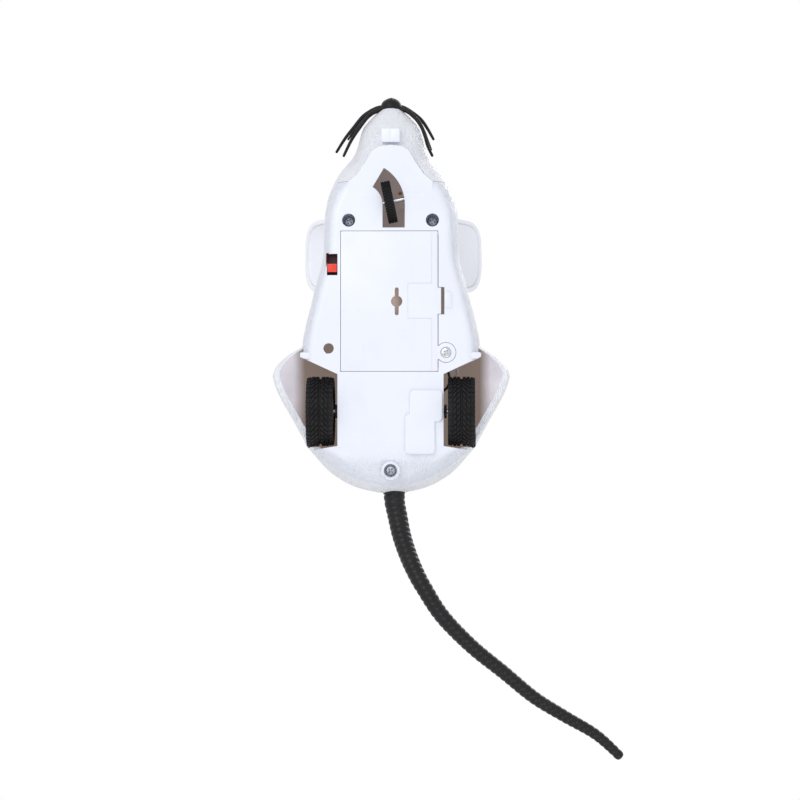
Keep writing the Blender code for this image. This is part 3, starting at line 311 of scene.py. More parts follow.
def dust_group():
    """Pale dust that settles in specks on a dark surface."""
    tree, given, out = new_group(
        "dust", (("Color", "Color", (0.02, 0.02, 0.02)), ("Dust", "Color", (0.30, 0.29, 0.28)),
                 ("Amount", "Float", 0.3)), (("Color", "Color"), ("Mask", "Float")),
    )
    place = place_at(tree)
    specks = add(tree, "TexNoise", {"Vector": place, "Scale": 1800.0, "Detail": 3.0}).outputs[0]
    cloud = add(tree, "TexNoise", {"Vector": place, "Scale": 140.0, "Detail": 4.0}).outputs[0]
    mask = math_node(tree, "MULTIPLY", ranged(tree, specks, 0.52, 0.75, 0.0, 1.0),
                     ranged(tree, cloud, 0.42, 0.70, 0.15, 1.0))
    mask = math_node(tree, "MULTIPLY", mask, given.outputs["Amount"])
    tree.links.new(mix_colour(tree, mask, given.outputs["Color"], given.outputs["Dust"]),
                   out.inputs["Color"])
    tree.links.new(mask, out.inputs["Mask"])
    return tree


GROUP_MAKERS = {"mould_grain": grain_group, "fur_strokes": fur_group, "scuffs": scuff_group,
                "dust": dust_group}


def group_node(tree, name, links=()):
    """The shared group placed in a material with its own values."""
    item = tree.nodes.new("ShaderNodeGroup")
    item.node_tree = bpy.data.node_groups.get(name) or GROUP_MAKERS[name]()
    for key, value in dict(links).items():
        if isinstance(value, bpy.types.NodeSocket):
            tree.links.new(value, item.inputs[key])
        else:
            item.inputs[key].default_value = (*value, 1.0) if hasattr(value, "__len__") else value
    return item


# --- Materials ---


def new_material(name, metallic=0.0, coat=0.0, specular=0.5):
    made = bpy.data.materials.new(name)
    made.use_nodes = True
    shader = made.node_tree.nodes["Principled BSDF"]
    shader.inputs["Metallic"].default_value = metallic
    shader.inputs["Specular IOR Level"].default_value = specular
    if coat:
        shader.inputs["Coat Weight"].default_value = coat
        shader.inputs["Coat Roughness"].default_value = 0.15
    return made, made.node_tree, shader


def bump(tree, shader, height, distance, strength=1.0, normal=None):
    item = add(tree, "Bump", {"Height": height, "Distance": distance, "Strength": strength})
    if normal is not None:
        tree.links.new(normal, item.inputs["Normal"])
    tree.links.new(item.outputs[0], shader.inputs["Normal"])
    return item.outputs[0]


def darker(colour, share):
    return tuple(value * share for value in colour)


def glow(tree, shader, tint, strength):
    """Stands for the light that comes through the thin white plastic into a closed space."""
    tree.links.new(tint, shader.inputs["Emission Color"])
    shader.inputs["Emission Strength"].default_value = strength


def plastic(name, colour, shade=0.93, smooth=0.28, rough=0.46, grain=2600.0, depth=0.00002, light=0.0,
            **shader_values):
    """Moulded plastic: fine grain, slow tint, faint scuffs."""
    made, tree, shader = new_material(name, **shader_values)
    base = group_node(tree, "mould_grain", {"Color": tuple(colour), "Shade": darker(colour, shade),
                                            "Grain": grain, "Smooth": smooth, "Rough": rough})
    marks = group_node(tree, "scuffs", {"Amount": 0.35})
    tint = mix_colour(tree, marks.outputs["Mask"], base.outputs["Color"], (*darker(colour, 0.86), 1.0))
    tree.links.new(tint, shader.inputs["Base Color"])
    # Painted light: a set light makes the colour glow as emission.
    if light:
        glow(tree, shader, tint, light)
    tree.links.new(base.outputs["Roughness"], shader.inputs["Roughness"])
    first = bump(tree, shader, base.outputs["Height"], depth, 0.6)
    bump(tree, shader, marks.outputs["Height"], 0.00001, 0.5, first)
    return made


def furry(name, colour, strokes, masked):
    """White plastic with hair strokes and a faint painted shade in their grooves; on the chassis both fade
    out over the flat bottom.
    """
    made, tree, shader = new_material(name, coat=0.12)
    base = group_node(tree, "mould_grain", {"Color": tuple(colour), "Shade": darker(colour, 0.95),
                                            "Smooth": 0.26, "Rough": 0.44})
    hair = group_node(tree, "fur_strokes", {"Across": strokes[0], "Along": strokes[1]})
    groove, height = hair.outputs["Groove"], hair.outputs["Height"]
    if masked:
        place = add(tree, "SeparateXYZ", {0: add(tree, "TexCoord").outputs["Object"]})
        side = ranged(tree, place.outputs["Z"], FLOOR_Z + 0.0004, FLOOR_Z + 0.0022, 0.0, 1.0)
        rump = ranged(tree, place.outputs["Y"], 0.064, 0.080, 0.0, 0.8)
        where = math_node(tree, "MAXIMUM", side, rump)
        groove = math_node(tree, "MULTIPLY", groove, where)
        height = math_node(tree, "MULTIPLY", height, where)
    # Painted shade: the grooves darken the colour a little.
    tint = mix_colour(tree, math_node(tree, "MULTIPLY", groove, 0.10), base.outputs["Color"],
                      (*darker(colour, 0.72), 1.0))
    tree.links.new(tint, shader.inputs["Base Color"])
    tree.links.new(base.outputs["Roughness"], shader.inputs["Roughness"])
    first = bump(tree, shader, base.outputs["Height"], 0.00002, 0.5)
    bump(tree, shader, height, 0.00025, 0.8, first)
    return made


def rubber(name, colour, smooth, rough, dust=0.25, depth=0.00005, grain=1500.0, specular=0.4, coat=0.0):
    """Black rubber or soft plastic with fine grain and a little dust."""
    made, tree, shader = new_material(name, specular=specular, coat=coat)
    base = group_node(tree, "mould_grain",
                      {"Color": tuple(colour), "Shade": darker(colour, 0.6), "Grain": grain,
                                            "Patches": 180.0, "Smooth": smooth, "Rough": rough})
    settled = group_node(tree, "dust", {"Color": base.outputs["Color"], "Amount": dust})
    tree.links.new(settled.outputs["Color"], shader.inputs["Base Color"])
    tree.links.new(math_node(tree, "MULTIPLY_ADD", settled.outputs["Mask"], 0.4, base.outputs["Roughness"]),
                   shader.inputs["Roughness"])
    bump(tree, shader, base.outputs["Height"], depth, 0.7)
    return made


def metal(name, colour, smooth, rough, across=2200.0, along=2200.0, wear=0.6):
    """Plated or turned metal with tool marks, a tint change and fine scratches."""
    made, tree, shader = new_material(name, metallic=1.0)
    base = group_node(tree, "mould_grain", {"Color": tuple(colour), "Shade": darker(colour, 0.78),
                                            "Patches": 420.0, "Grain": 5200.0, "Smooth": smooth,
                                            "Rough": rough})
    marks = group_node(tree, "scuffs", {"Across": across, "Along": along, "Amount": wear})
    bright = tuple(min(1.0, value * 1.35) for value in colour)
    tint = mix_colour(tree, marks.outputs["Mask"], base.outputs["Color"], (*bright, 1.0))
    tree.links.new(tint, shader.inputs["Base Color"])
    tree.links.new(base.outputs["Roughness"], shader.inputs["Roughness"])
    first = bump(tree, shader, base.outputs["Height"], 0.000015, 0.5)
    bump(tree, shader, marks.outputs["Height"], 0.00002, 0.7, first)
    return made


def board_material():
    """Green lacquered board with copper tracks and a weave under the lacquer."""
    made, tree, shader = new_material("board_green", coat=0.5)
    place = place_at(tree)
    tracks = add(tree, "TexBrick",
                 {"Vector": place, "Scale": 240.0, "Mortar Size": 0.06, "Mortar Smooth": 0.2,
                                    "Color1": (0.012, 0.10, 0.04, 1), "Color2": (0.014, 0.13, 0.05, 1),
                                    "Mortar": (0.06, 0.26, 0.09, 1)})
    base = group_node(tree, "mould_grain", {"Color": (0.015, 0.12, 0.045), "Shade": (0.01, 0.08, 0.03),
                                            "Smooth": 0.25, "Rough": 0.45})
    tree.links.new(mix_colour(tree, 0.5, tracks.outputs[0], base.outputs["Color"]),
                   shader.inputs["Base Color"])
    tree.links.new(base.outputs["Roughness"], shader.inputs["Roughness"])
    bump(tree, shader, tracks.outputs[1], 0.00008, 0.6)
    return made


def cell_material(name, colour, foot, light):
    """Printed sleeve of a battery cell, plain colour with a darker band, no lettering, and painted light as
    emission.
    """
    made, tree, shader = new_material(name, metallic=0.1, coat=0.15)
    along = add(tree, "SeparateXYZ", {0: add(tree, "TexCoord").outputs["Object"]}).outputs["Y"]
    band = ranged(tree, math_node(tree, "ABSOLUTE", math_node(tree, "SUBTRACT", along, foot)), 0.0075,
                  0.0080,
                  1.0, 0.0)
    base = group_node(tree, "mould_grain", {"Color": colour, "Shade": darker(colour, 0.8), "Smooth": 0.2,
                                            "Rough": 0.4})
    tint = mix_colour(tree, band, base.outputs["Color"], (0.02, 0.02, 0.025, 1.0))
    tree.links.new(tint, shader.inputs["Base Color"])
    # Painted light: the sleeve glows as emission, standing for light through the white door.
    glow(tree, shader, tint, light)
    tree.links.new(base.outputs["Roughness"], shader.inputs["Roughness"])
    bump(tree, shader, base.outputs["Height"], 0.00002, 0.5)
    return made


MATERIALS = {}


def make_materials(colours):
    """Every finish of the mouse, by name."""
    steel = tuple(colours.steel)
    MATERIALS.update({
        "shell": furry("shell_white", colours.shell, (1500.0, 120.0), False),
        "ear": plastic("ear_white", colours.shell, 0.96, 0.26, 0.42, 2200.0, 0.00004, coat=0.1),
        "chassis": furry("chassis_white", colours.chassis, (1500.0, 120.0), True),
        "door": plastic("door_white", colours.chassis, 0.96, 0.26, 0.42, coat=0.1),
        "teeth": plastic("tooth_white", colours.chassis, 0.94, 0.2, 0.34, coat=0.2),
        # Painted shade: darker mauve in the crease inside the ear rim.
        "rim": plastic("ear_crease_painted_shade", (0.66, 0.57, 0.60), 0.85, 0.35, 0.5),
        "tail": rubber("tail_rubber", colours.rubber, 0.26, 0.46, 0.08, 0.00002, specular=0.26),
        "soft": rubber("nose_rubber", colours.rubber, 0.34, 0.52, 0.08, 0.00002, specular=0.22),
        "tyre": rubber("tyre_rubber", colours.tyre, 0.50, 0.78, 0.10, 0.00005, specular=0.22),
        "hard": rubber("black_plastic", (0.02, 0.02, 0.022), 0.3, 0.5, 0.25, 0.00002),
        "eye": rubber("eye_black", (0.008, 0.008, 0.010), 0.05, 0.12, 0.03, 0.000004, specular=0.6,
                      coat=0.9),
        "knob": plastic("knob_red", colours.knob, 0.88, 0.22, 0.40, coat=0.15),
        # Painted shade colour, with painted light as emission.
        "painted_shade_taupe": plastic("slot_taupe_painted_shade", colours.painted_shade_taupe, 0.82, 0.42, 0.66, light=0.6),
        "slide": plastic("slide_dark_red", (0.10, 0.012, 0.012), 0.7, 0.35, 0.55),
        "rivet": plastic("rivet_copper", (0.50, 0.23, 0.10), 0.75, 0.30, 0.45, metallic=0.3),
        "hub": plastic("hub_white", (0.72, 0.73, 0.76), 0.92),
        "nylon": plastic("gear_nylon", (0.74, 0.73, 0.69), 0.92, 0.32, 0.5),
        "zinc": metal("screw_zinc", colours.zinc, 0.34, 0.58),
        "steel": metal("bright_steel", steel, 0.16, 0.34, 400.0, 5200.0),
        "bright": metal("door_screw_steel", (0.80, 0.80, 0.82), 0.20, 0.40),
        "can": metal("motor_can", (0.52, 0.53, 0.55), 0.24, 0.44, 90.0, 4200.0),
        "brass": metal("pinion_brass", (0.72, 0.52, 0.22), 0.22, 0.40),
        "board": board_material(),
        # Painted light: both cell sleeves glow, the grey-brown one strongly.
        "cell_gold": cell_material("cell_sleeve_brown_painted_glow", (0.30, 0.225, 0.19), 0.022, 0.75),
        "cell_blue": cell_material("cell_sleeve_blue_painted_glow", (0.04, 0.09, 0.26), -0.014, 0.1),
        "wire_black": rubber("wire_sleeve_black", (0.015, 0.015, 0.017), 0.3, 0.5),
        "wire_white": plastic("wire_sleeve_white", (0.62, 0.62, 0.64), 0.9),
    })
    return MATERIALS


def finish_of(name):
    if not MATERIALS:
        make_materials(bpy.context.scene.mouse_colours)
    return MATERIALS[name]


# --- Mesh helpers ---


def place_piece(obj, material, body, replaces=()):
    """Gives a piece its finish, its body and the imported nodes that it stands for."""
    if material:
        obj.data.materials.clear()
        obj.data.materials.append(finish_of(material))
    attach(obj, body)
    if replaces:
        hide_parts(*replaces)
    return obj


def mesh_object(name, bm, smooth_angle=35.0):
    """A mesh object from a bmesh, smooth with edges sharper than the angle kept sharp."""
    bmesh.ops.recalc_face_normals(bm, faces=bm.faces[:])
    mesh = bpy.data.meshes.new(name)
    bm.to_mesh(mesh)
    bm.free()
    obj = bpy.data.objects.new(name, mesh)
    bpy.context.scene.collection.objects.link(obj)
    shade(obj, smooth_angle)
    return obj


def shade(obj, smooth_angle):
    obj.data.shade_smooth()
    if smooth_angle < 180.0:
        obj.data.set_sharp_from_angle(angle=math.radians(smooth_angle))


def settle(obj, smooth_angle=35.0):
    """Turns the modifiers' result into the piece's own mesh."""
    graph = bpy.context.evaluated_depsgraph_get()
    mesh = bpy.data.meshes.new_from_object(obj.evaluated_get(graph))
    mesh.name = obj.name
    obj.modifiers.clear()
    obj.data = mesh
    shade(obj, smooth_angle)
    return obj


def carve(obj, operation, *others, smooth_angle=35.0):
    """Joins, cuts or intersects with other shapes, which are used up."""
    for other in others:
        modifier = obj.modifiers.new(operation, "BOOLEAN")
        modifier.operation = operation
        modifier.solver = "MANIFOLD"
        modifier.object = other
    bpy.context.view_layer.update()
    settle(obj, smooth_angle)
    for other in others:
        bpy.data.objects.remove(other, do_unlink=True)
    return obj


def soften(obj, width, segments=2, angle=30.0):
    """Rounds the edges sharper than the angle."""
    modifier = obj.modifiers.new("soften", "BEVEL")
    modifier.width, modifier.segments = width, segments
    modifier.limit_method, modifier.angle_limit = "ANGLE", math.radians(angle)
    modifier.use_clamp_overlap = True
    modifier.harden_normals = False
    return settle(obj, angle + 5.0)


def loft(name, rings, capped=True, smooth_angle=35.0, looped=False):
    """A surface through rings of the same number of points."""
    bm = bmesh.new()
    rows = [[bm.verts.new(point) for point in ring] for ring in rings]
    pairs = list(zip(rows, rows[1:])) + ([(rows[-1], rows[0])] if looped else [])
    for near, far in pairs:
        for k in range(len(near)):
            bm.faces.new((near[k - 1], near[k], far[k], far[k - 1]))
    if capped and not looped:
        bm.faces.new(rows[0])
        bm.faces.new(rows[-1])
    return mesh_object(name, bm, smooth_angle)


def prism(name, outline, low, high, rounding=0.0, segments=2):
    """A flat outline in XY between two heights, its edges rounded."""
    rings = [[(x, y, z) for x, y in outline] for z in (low, high)]
    obj = loft(name, rings)
    return soften(obj, rounding, segments) if rounding else obj


def block(name, x, y, z, rounding=0.0, segments=2):
    return prism(name, ((x[0], y[0]), (x[1], y[0]), (x[1], y[1]), (x[0], y[1])), z[0], z[1], rounding,
                 segments)


def rounded_plan(x, y, radius, steps=6):
    """Outline of a rectangle with round corners."""
    points = []
    for cx, cy, start in ((x[1] - radius, y[1] - radius, 0), (x[0] + radius, y[1] - radius, 1),
                          (x[0] + radius, y[0] + radius, 2), (x[1] - radius, y[0] + radius, 3)):
        for k in range(steps + 1):
            angle = math.pi / 2 * (start + k / steps)
            points.append((cx + radius * math.cos(angle), cy + radius * math.sin(angle)))
    return points


def axis_frame(axis, centre, swing=0.0):
    """A matrix that takes +Z to the axis at the centre; swing turns an X axis about +Z."""
    turn = {"X": Matrix(((0, 0, 1), (1, 0, 0), (0, 1, 0))), "Y": Matrix(((0, 1, 0), (0, 0, 1), (1, 0, 0))),
            "Z": Matrix.Identity(3)}[axis]
    turn = Matrix.Rotation(swing, 3, "Z") @ turn
    return Matrix.Translation(Vector(centre)) @ turn.to_4x4()


def turned(name, profile, centre, axis="X", steps=64, closed=False, swing=0.0, smooth_angle=35.0):
    """A (radius, along) profile turned about an axis; a radius of nothing makes a pole."""
    frame_at = axis_frame(axis, centre, swing)
    bm = bmesh.new()
    rows = []
    for radius, along in profile:
        if radius <= 0:
            rows.append([bm.verts.new(frame_at @ Vector((0, 0, along)))])
        else:
            rows.append([bm.verts.new(frame_at @ Vector((radius * math.cos(math.tau * k / steps),
                                                         radius * math.sin(math.tau * k / steps), along)))
                         for k in range(steps)])
    pairs = list(zip(rows, rows[1:])) + ([(rows[-1], rows[0])] if closed else [])
    for near, far in pairs:
        for k in range(steps):
            corners = [near[k - 1], near[k], far[k], far[k - 1]] if len(near) > 1 and len(far) > 1 else (
                [near[0], far[k], far[k - 1]] if len(near) == 1 else [near[k - 1], near[k], far[0]])
            bm.faces.new(corners)
    if not closed:
        for row in (rows[0], rows[-1]):
            if len(row) > 1:
                bm.faces.new(row)
    return mesh_object(name, bm, smooth_angle)


def hole(name, x, y, radius, low, high, steps=40):
    return turned(name, ((0, low), (radius, low), (radius, high), (0, high)), (x, y, 0), "Z", steps)


def smooth_route(points, per_span):
    """Points on a Catmull-Rom curve through the given ones, with whatever values they carry."""
    route = []
    for i in range(len(points) - 1):
        p0, p1 = points[max(0, i - 1)], points[i]
        p2, p3 = points[i + 1], points[min(len(points) - 1, i + 2)]
        for k in range(per_span):
            t = k / per_span
            route.append(tuple(
                (2 * b + (c - a) * t + (2 * a - 5 * b + 4 * c - d) * t**2 + (3 * b - a - 3 * c + d) * t**3)
                / 2
                for a, b, c, d in zip(p0, p1, p2, p3)
            ))
    return route + [tuple(points[-1])]


def evenly(points, count):
    """The same line at count evenly spaced points."""
    far = [0.0]
    for a, b in zip(points, points[1:]):
        far.append(far[-1] + math.dist(a[:3], b[:3]))
    made, i = [], 0
    for k in range(count):
        want = far[-1] * k / (count - 1)
        while i < len(far) - 2 and far[i + 1] < want:
            i += 1
        t = (want - far[i]) / max(1e-12, far[i + 1] - far[i])
        made.append(tuple(a + (b - a) * t for a, b in zip(points[i], points[i + 1])))
    return made


def tube(name, route, sides=20, capped=True, smooth_angle=180.0):
    """A tube along (x, y, z, radius) points, with one frame carried along it so that it doesn't twist."""
    centres = [Vector(point[:3]) for point in route]
    rings, side = [], None
    for i, centre in enumerate(centres):
        ahead = (centres[min(i + 1, len(centres) - 1)] - centres[max(i - 1, 0)]).normalized()
        if side is None:
            side = Vector((0, 0, 1)) if abs(ahead.z) < 0.9 else Vector((1, 0, 0))
        side = (side - ahead * side.dot(ahead)).normalized()
        other = ahead.cross(side)
        rings.append([centre + (side * math.cos(math.tau * k / sides) + other
                                * math.sin(math.tau * k / sides))
                      * route[i][3] for k in range(sides)])
    return loft(name, rings, capped, smooth_angle)


def joined(name, pieces, smooth_angle=35.0):
    """Several meshes as one object, without joining their surfaces."""
    bm = bmesh.new()
    for piece in pieces:
        bm.from_mesh(piece.data)
        bpy.data.objects.remove(piece, do_unlink=True)
    mesh = bpy.data.meshes.new(name)
    bm.to_mesh(mesh)
    bm.free()
    obj = bpy.data.objects.new(name, mesh)
    bpy.context.scene.collection.objects.link(obj)
    shade(obj, smooth_angle)
    return obj


# --- The hull surface ---


def hull_at(y):
    """Half-width, top, bottom and flank width at y, on a smooth curve through the hull lines."""
    rows = HULL
    i = max(0, min(len(rows) - 2, sum(1 for row in rows if row[0] <= y) - 1))
    span = rows[i + 1][0] - rows[i][0]
    t = (y - rows[i][0]) / span
    values = []
    for column in range(1, 5):
        def slope(k):
            if k in (0, len(rows) - 1):
                return (rows[i + 1][column] - rows[i][column]) / span
            before = (rows[k][column] - rows[k - 1][column]) / (rows[k][0] - rows[k - 1][0])
            after = (rows[k + 1][column] - rows[k][column]) / (rows[k + 1][0] - rows[k][0])
            return 2 * before * after / (before + after) if before * after > 0 else 0.0
        a, b = rows[i][column], rows[i + 1][column]
        values.append(
            (2 * t**3 - 3 * t**2 + 1) * a + (t**3 - 2 * t**2 + t) * span * slope(i)
            + (3 * t**2 - 2 * t**3) * b + (t**3 - t**2) * span * slope(i + 1)
        )
    return values


def haunch_bulge(y, z):
    t = (y - HAUNCH_Y) / (HAUNCH_REAR if y > HAUNCH_Y else HAUNCH_FRONT)
    if abs(t) >= 1:
        return 0.0
    along = 1 - t * t if t < 0 else (math.cos(math.pi * t / 2) ** 2 + 1 - t) / 2
    low, high = HAUNCH_TOP
    rise = min(1.0, max(0.0, (z - low) / (high - low)))
    return HAUNCH * along * math.cos(math.pi * rise / 2) ** 2


def section(y, grow, haunches, count):
    """Half a hull section from the bottom middle up to the top middle, at count evenly spaced points."""
    width, top, bottom, flank = hull_at(y)
    width, top, bottom = width + grow, top + grow, bottom - grow
    flank = min(width, flank + grow * 0.5)
    widest = bottom + min((top - bottom) / 2, WIDEST_ABOVE_BOTTOM)
    points = [(0.0, bottom)]
    for k in range(16):
        angle = math.pi / 2 * (1 - k / 16)
        points.append((width - flank + flank * math.cos(angle), widest - (widest - bottom)
                       * math.sin(angle)))
    for k in range(48):
        angle = math.pi / 2 * k / 48
        points.append((width * math.cos(angle) ** CROWN, widest + (top - widest)
                       * math.sin(angle) ** CROWN))
    points.append((0.0, top))
    if haunches:
        points = [(x + haunch_bulge(y, z) * x / width, z) for x, z in points]
    return [(x, z) for x, _, z in evenly([(x, 0.0, z) for x, z in points], count)]


def hull(name, grow, haunches, rings, count, relief=None):
    """The closed hull as a loft of sections; relief moves each point out along its section's normal."""
    start, end = HULL[0][0] - grow, HULL_END + grow
    last = HULL[-1][0]
    rows = []
    for i in range(rings):
        share = i / (rings - 1)
        y = HULL[0][0] + (last - HULL[0][0]) * (share + 0.02 * math.sin(math.tau * share))
        half = section(y, grow, haunches, count)
        ring = half + [(-x, z) for x, z in reversed(half[1:-1])]
        moved = start + (y - HULL[0][0]) * (end - start) / (HULL_END - HULL[0][0])
        if relief:
            ring = lifted(ring, moved, relief)
        rows.append([(x, moved, z) for x, z in ring])
    bm = bmesh.new()
    made = [[bm.verts.new(point) for point in row] for row in rows]
    for near, far in zip(made, made[1:]):
        for k in range(len(near)):
            bm.faces.new((near[k - 1], near[k], far[k], far[k - 1]))
    bm.faces.new(made[0])
    tip = bm.verts.new((0, end, (HULL[-1][2] + HULL[-1][3]) / 2))
    for k in range(len(made[-1])):
        bm.faces.new((made[-1][k - 1], made[-1][k], tip))
    return mesh_object(name, bm, 40.0)


def lifted(ring, y, relief):
    """A ring moved along its own normals by relief(x, y, z)."""
    moved = []
    for k, (x, z) in enumerate(ring):
        (x0, z0), (x1, z1) = ring[k - 1], ring[(k + 1) % len(ring)]
        along = Vector((x1 - x0, z1 - z0))
        normal = Vector((along.y, -along.x)).normalized() if along.length > 1e-9 else Vector((0, 0))
        step = relief(x, y, z)
        moved.append((x + normal.x * step, z + normal.y * step))
    return moved


def fur_relief(settings, seed, where=None):
    """Moulded fur: long shallow grooves that wander from nose to tail, deeper in tufts."""
    across, along = 1.0 / settings.spacing, 1.0 / settings.stroke

    def relief(x, y, z):
        share = 1.0 if where is None else where(x, y, z)
        if share <= 0.0:
            return 0.0
        wander = noise.noise((x * 55, y * 32, z * 55 + seed)) * 0.0026
        wide = noise.noise(((x + wander) * across, y * along, (z + wander) * across + seed))
        thin = noise.noise(((x + wander) * across * 2.1, y * along * 1.5, z * across * 2.1 + seed + 9.0))
        tuft = 0.65 + 0.35 * noise.noise((x * 90, y * 60, z * 90 + seed))
        groove = max(0.0, 1 - 3.6 * abs(wide)) ** 1.4 + 0.45 * max(0.0, 1 - 3.2 * abs(thin))
        return -settings.depth * share * tuft * groove
    return relief


# --- Plans shared by the shell and the chassis ---


def chassis_plan(grow):
    """Plan of the chassis: a front tongue that flares to the full width behind it."""
    reach = 0.075
    half = [(0.0, -0.0684), (0.0050, -0.0678), (0.0082, -0.0659), (0.0114, -0.0605), (0.0152, -0.0551),
            (0.0190, -0.0520), (reach, -0.0500)]
    right = [(x + (grow if 0 < x < reach else 0.0), y - grow) for x, y in half]
    right += [(reach, 0.12)]
    return right + [(-x, y) for x, y in reversed(right) if x > 0]


def well_plan(side):
    """Plan of the notch that a rear wheel stands in."""
    half = [(WELL_X, 0.0351), (0.0403, 0.0275), (0.060, 0.0183), (0.060, 0.0715), (0.0350, 0.0693),
            (WELL_X, 0.0675)]
    return [(side * x, y) for x, y in half][::side]


def front_slot_plan(steps=20):
    """Plan of the front wheel slot: a ring sector round the pivot, carried straight on towards the rear."""
    def at(radius, angle):
        return PIVOT_X + radius * math.cos(angle), PIVOT_Y - radius * math.sin(angle)
    turns = [SLOT_AHEAD * k / steps for k in range(steps + 1)]
    outer = [at(SLOT_OUTER, angle) for angle in turns]
    inner = [at(SLOT_INNER, angle) for angle in reversed(turns)]
    return outer + inner + [(SLOT_X[0], SLOT_END), (SLOT_X[1], SLOT_END)]


# --- Stage and tail ---


class MOUSE_OT_stage(bpy.types.Operator):
    """Sets up the camera under the mouse, the pale floor that shows from above, and the soft lights."""

    bl_idname = "mouse.stage"
    bl_label = "Stage"

    def execute(self, context):
        settings = context.scene.mouse_stage
        lo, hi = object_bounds()
        data = bpy.data.cameras.new("camera")
        camera = bpy.data.objects.new("camera", data)
        context.scene.collection.objects.link(camera)
        context.scene.camera = camera
        data.sensor_width = 36.0
        data.lens = data.sensor_width * settings.distance / settings.width
        data.clip_start, data.clip_end = 0.01, 20.0
        aim = Vector((*CAMERA_AIM, FLOOR_Z))
        camera.location = Vector((*CAMERA_FOOT, FLOOR_Z - settings.distance))
        back = (camera.location - aim).normalized()
        right = Vector((0, -1, 0)).cross(back).normalized()
        up = back.cross(right)
        camera.rotation_mode = "QUATERNION"
        camera.rotation_quaternion = Matrix((right, up, back)).transposed().to_quaternion()
        self.floor(context, lo, hi)
        world = bpy.data.worlds.new("studio")
        context.scene.world = world
        world.use_nodes = True
        background = world.node_tree.nodes["Background"]
        background.inputs["Color"].default_value = (1.0, 1.0, 1.0, 1.0)
        seen = add(world.node_tree, "LightPath").outputs["Is Camera Ray"]
        strength = ranged(world.node_tree, seen, 0.0, 1.0, settings.sky, 1.0)
        world.node_tree.links.new(strength, background.inputs["Strength"])
        context.scene.view_settings.view_transform = "Standard"
        middle = (lo + hi) / 2
        self.area(context, "under_light", middle + Vector((-0.35, -0.45, -0.9)), middle, 0.7, settings.key
                  * 0.7)
        self.area(context, "rear_light", middle + Vector((0.25, 0.75, -0.6)), middle, 0.7, settings.key
                  * 0.4)
        self.area(context, "over_light", middle + Vector((0.45, -0.55, 0.9)), middle, 0.6, settings.key
                  * 0.8)
        return {"FINISHED"}

    def floor(self, context, lo, hi):
        bm = bmesh.new()
        bmesh.ops.create_grid(bm, x_segments=8, y_segments=8, size=2.5)
        floor = mesh_object("floor", bm)
        floor.location = ((lo.x + hi.x) / 2, (lo.y + hi.y) / 2, lo.z - 0.0001)
        made = bpy.data.materials.new("floor_pale")
        made.use_nodes = True
        tree = made.node_tree
        shader, out = tree.nodes["Principled BSDF"], tree.nodes["Material Output"]
        shader.inputs["Roughness"].default_value = 0.7
        cloud = add(tree, "TexNoise", {"Vector": place_at(tree), "Scale": 3.0, "Detail": 3.0}).outputs[0]
        tint = mix_colour(tree, cloud, (0.84, 0.845, 0.86, 1.0), (0.87, 0.875, 0.885, 1.0))
        tree.links.new(tint, shader.inputs["Base Color"])
        clear = add(tree, "BsdfTransparent")
        above = math_node(tree, "SUBTRACT", 1.0, add(tree, "NewGeometry").outputs["Backfacing"])
        seen = math_node(tree, "MULTIPLY", above, add(tree, "LightPath").outputs["Is Camera Ray"])
        choice = add(tree, "MixShader", {0: seen, 1: clear.outputs[0], 2: shader.outputs[0]})
        tree.links.new(choice.outputs[0], out.inputs["Surface"])
        floor.data.materials.append(made)
        floor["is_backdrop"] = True

    def area(self, context, name, place, target, size, power):
        data = bpy.data.lights.new(name, "AREA")
        data.shape, data.size, data.energy = "DISK", size, power
        light = bpy.data.objects.new(name, data)
        context.scene.collection.objects.link(light)
        light.location = place
        light.rotation_mode = "QUATERNION"
        light.rotation_quaternion = (target - place).to_track_quat("-Z", "Y")


class MOUSE_OT_tail(bpy.types.Operator):
    """Builds the ribbed rubber tail along its route, and the grommet that holds it in the rump."""

    bl_idname = "mouse.tail"
    bl_label = "Tail"

    def execute(self, context):
        settings = context.scene.mouse_tail
        line = smooth_route(TAIL_ROUTE, 12)
        per_rib = 10
        line = evenly(line, settings.ribs * per_rib + 1)
        rows = []
        for i, (x, y, z, radius) in enumerate(line):
            phase = (i % per_rib) / per_rib
            swell = math.sin(math.pi * phase) ** 0.55
            depth = settings.groove * (0.55 + 0.45 * radius / 0.0049)
            rows.append((x, y, z, radius - depth * (1.0 - swell)))
        x, y, z, radius = rows[-1]
        ahead = (Vector(line[-1][:3]) - Vector(line[-4][:3])).normalized()
        tip = [(*(Vector((x, y, z)) + ahead * radius * 0.5 * math.sin(a)), radius * math.cos(a))
               for a in (0.4, 0.8, 1.15, 1.45)]
        tail = tube("tail_ribbed", rows + tip, 28)
        place_piece(tail, "tail", "chassis_body", ("tail",))
        grommet = turned("tail_root_grommet", (
            (0, 0.0897), (0.0044, 0.0897), (0.0048, 0.0895), (0.0050, 0.0890), (0.0051, 0.0880),
            (0.0051, 0.0836), (0.0068, 0.0834), (0.0072, 0.0831), (0.0072, 0.0823), (0.0069, 0.0820),
            (0, 0.0820)),
            (TAIL_X, 0, TAIL_Z), "Y", 64)
        place_piece(grommet, "tail", "chassis_body", ("tail_grommet",))
        return {"FINISHED"}


# --- Shell, ears and face ---


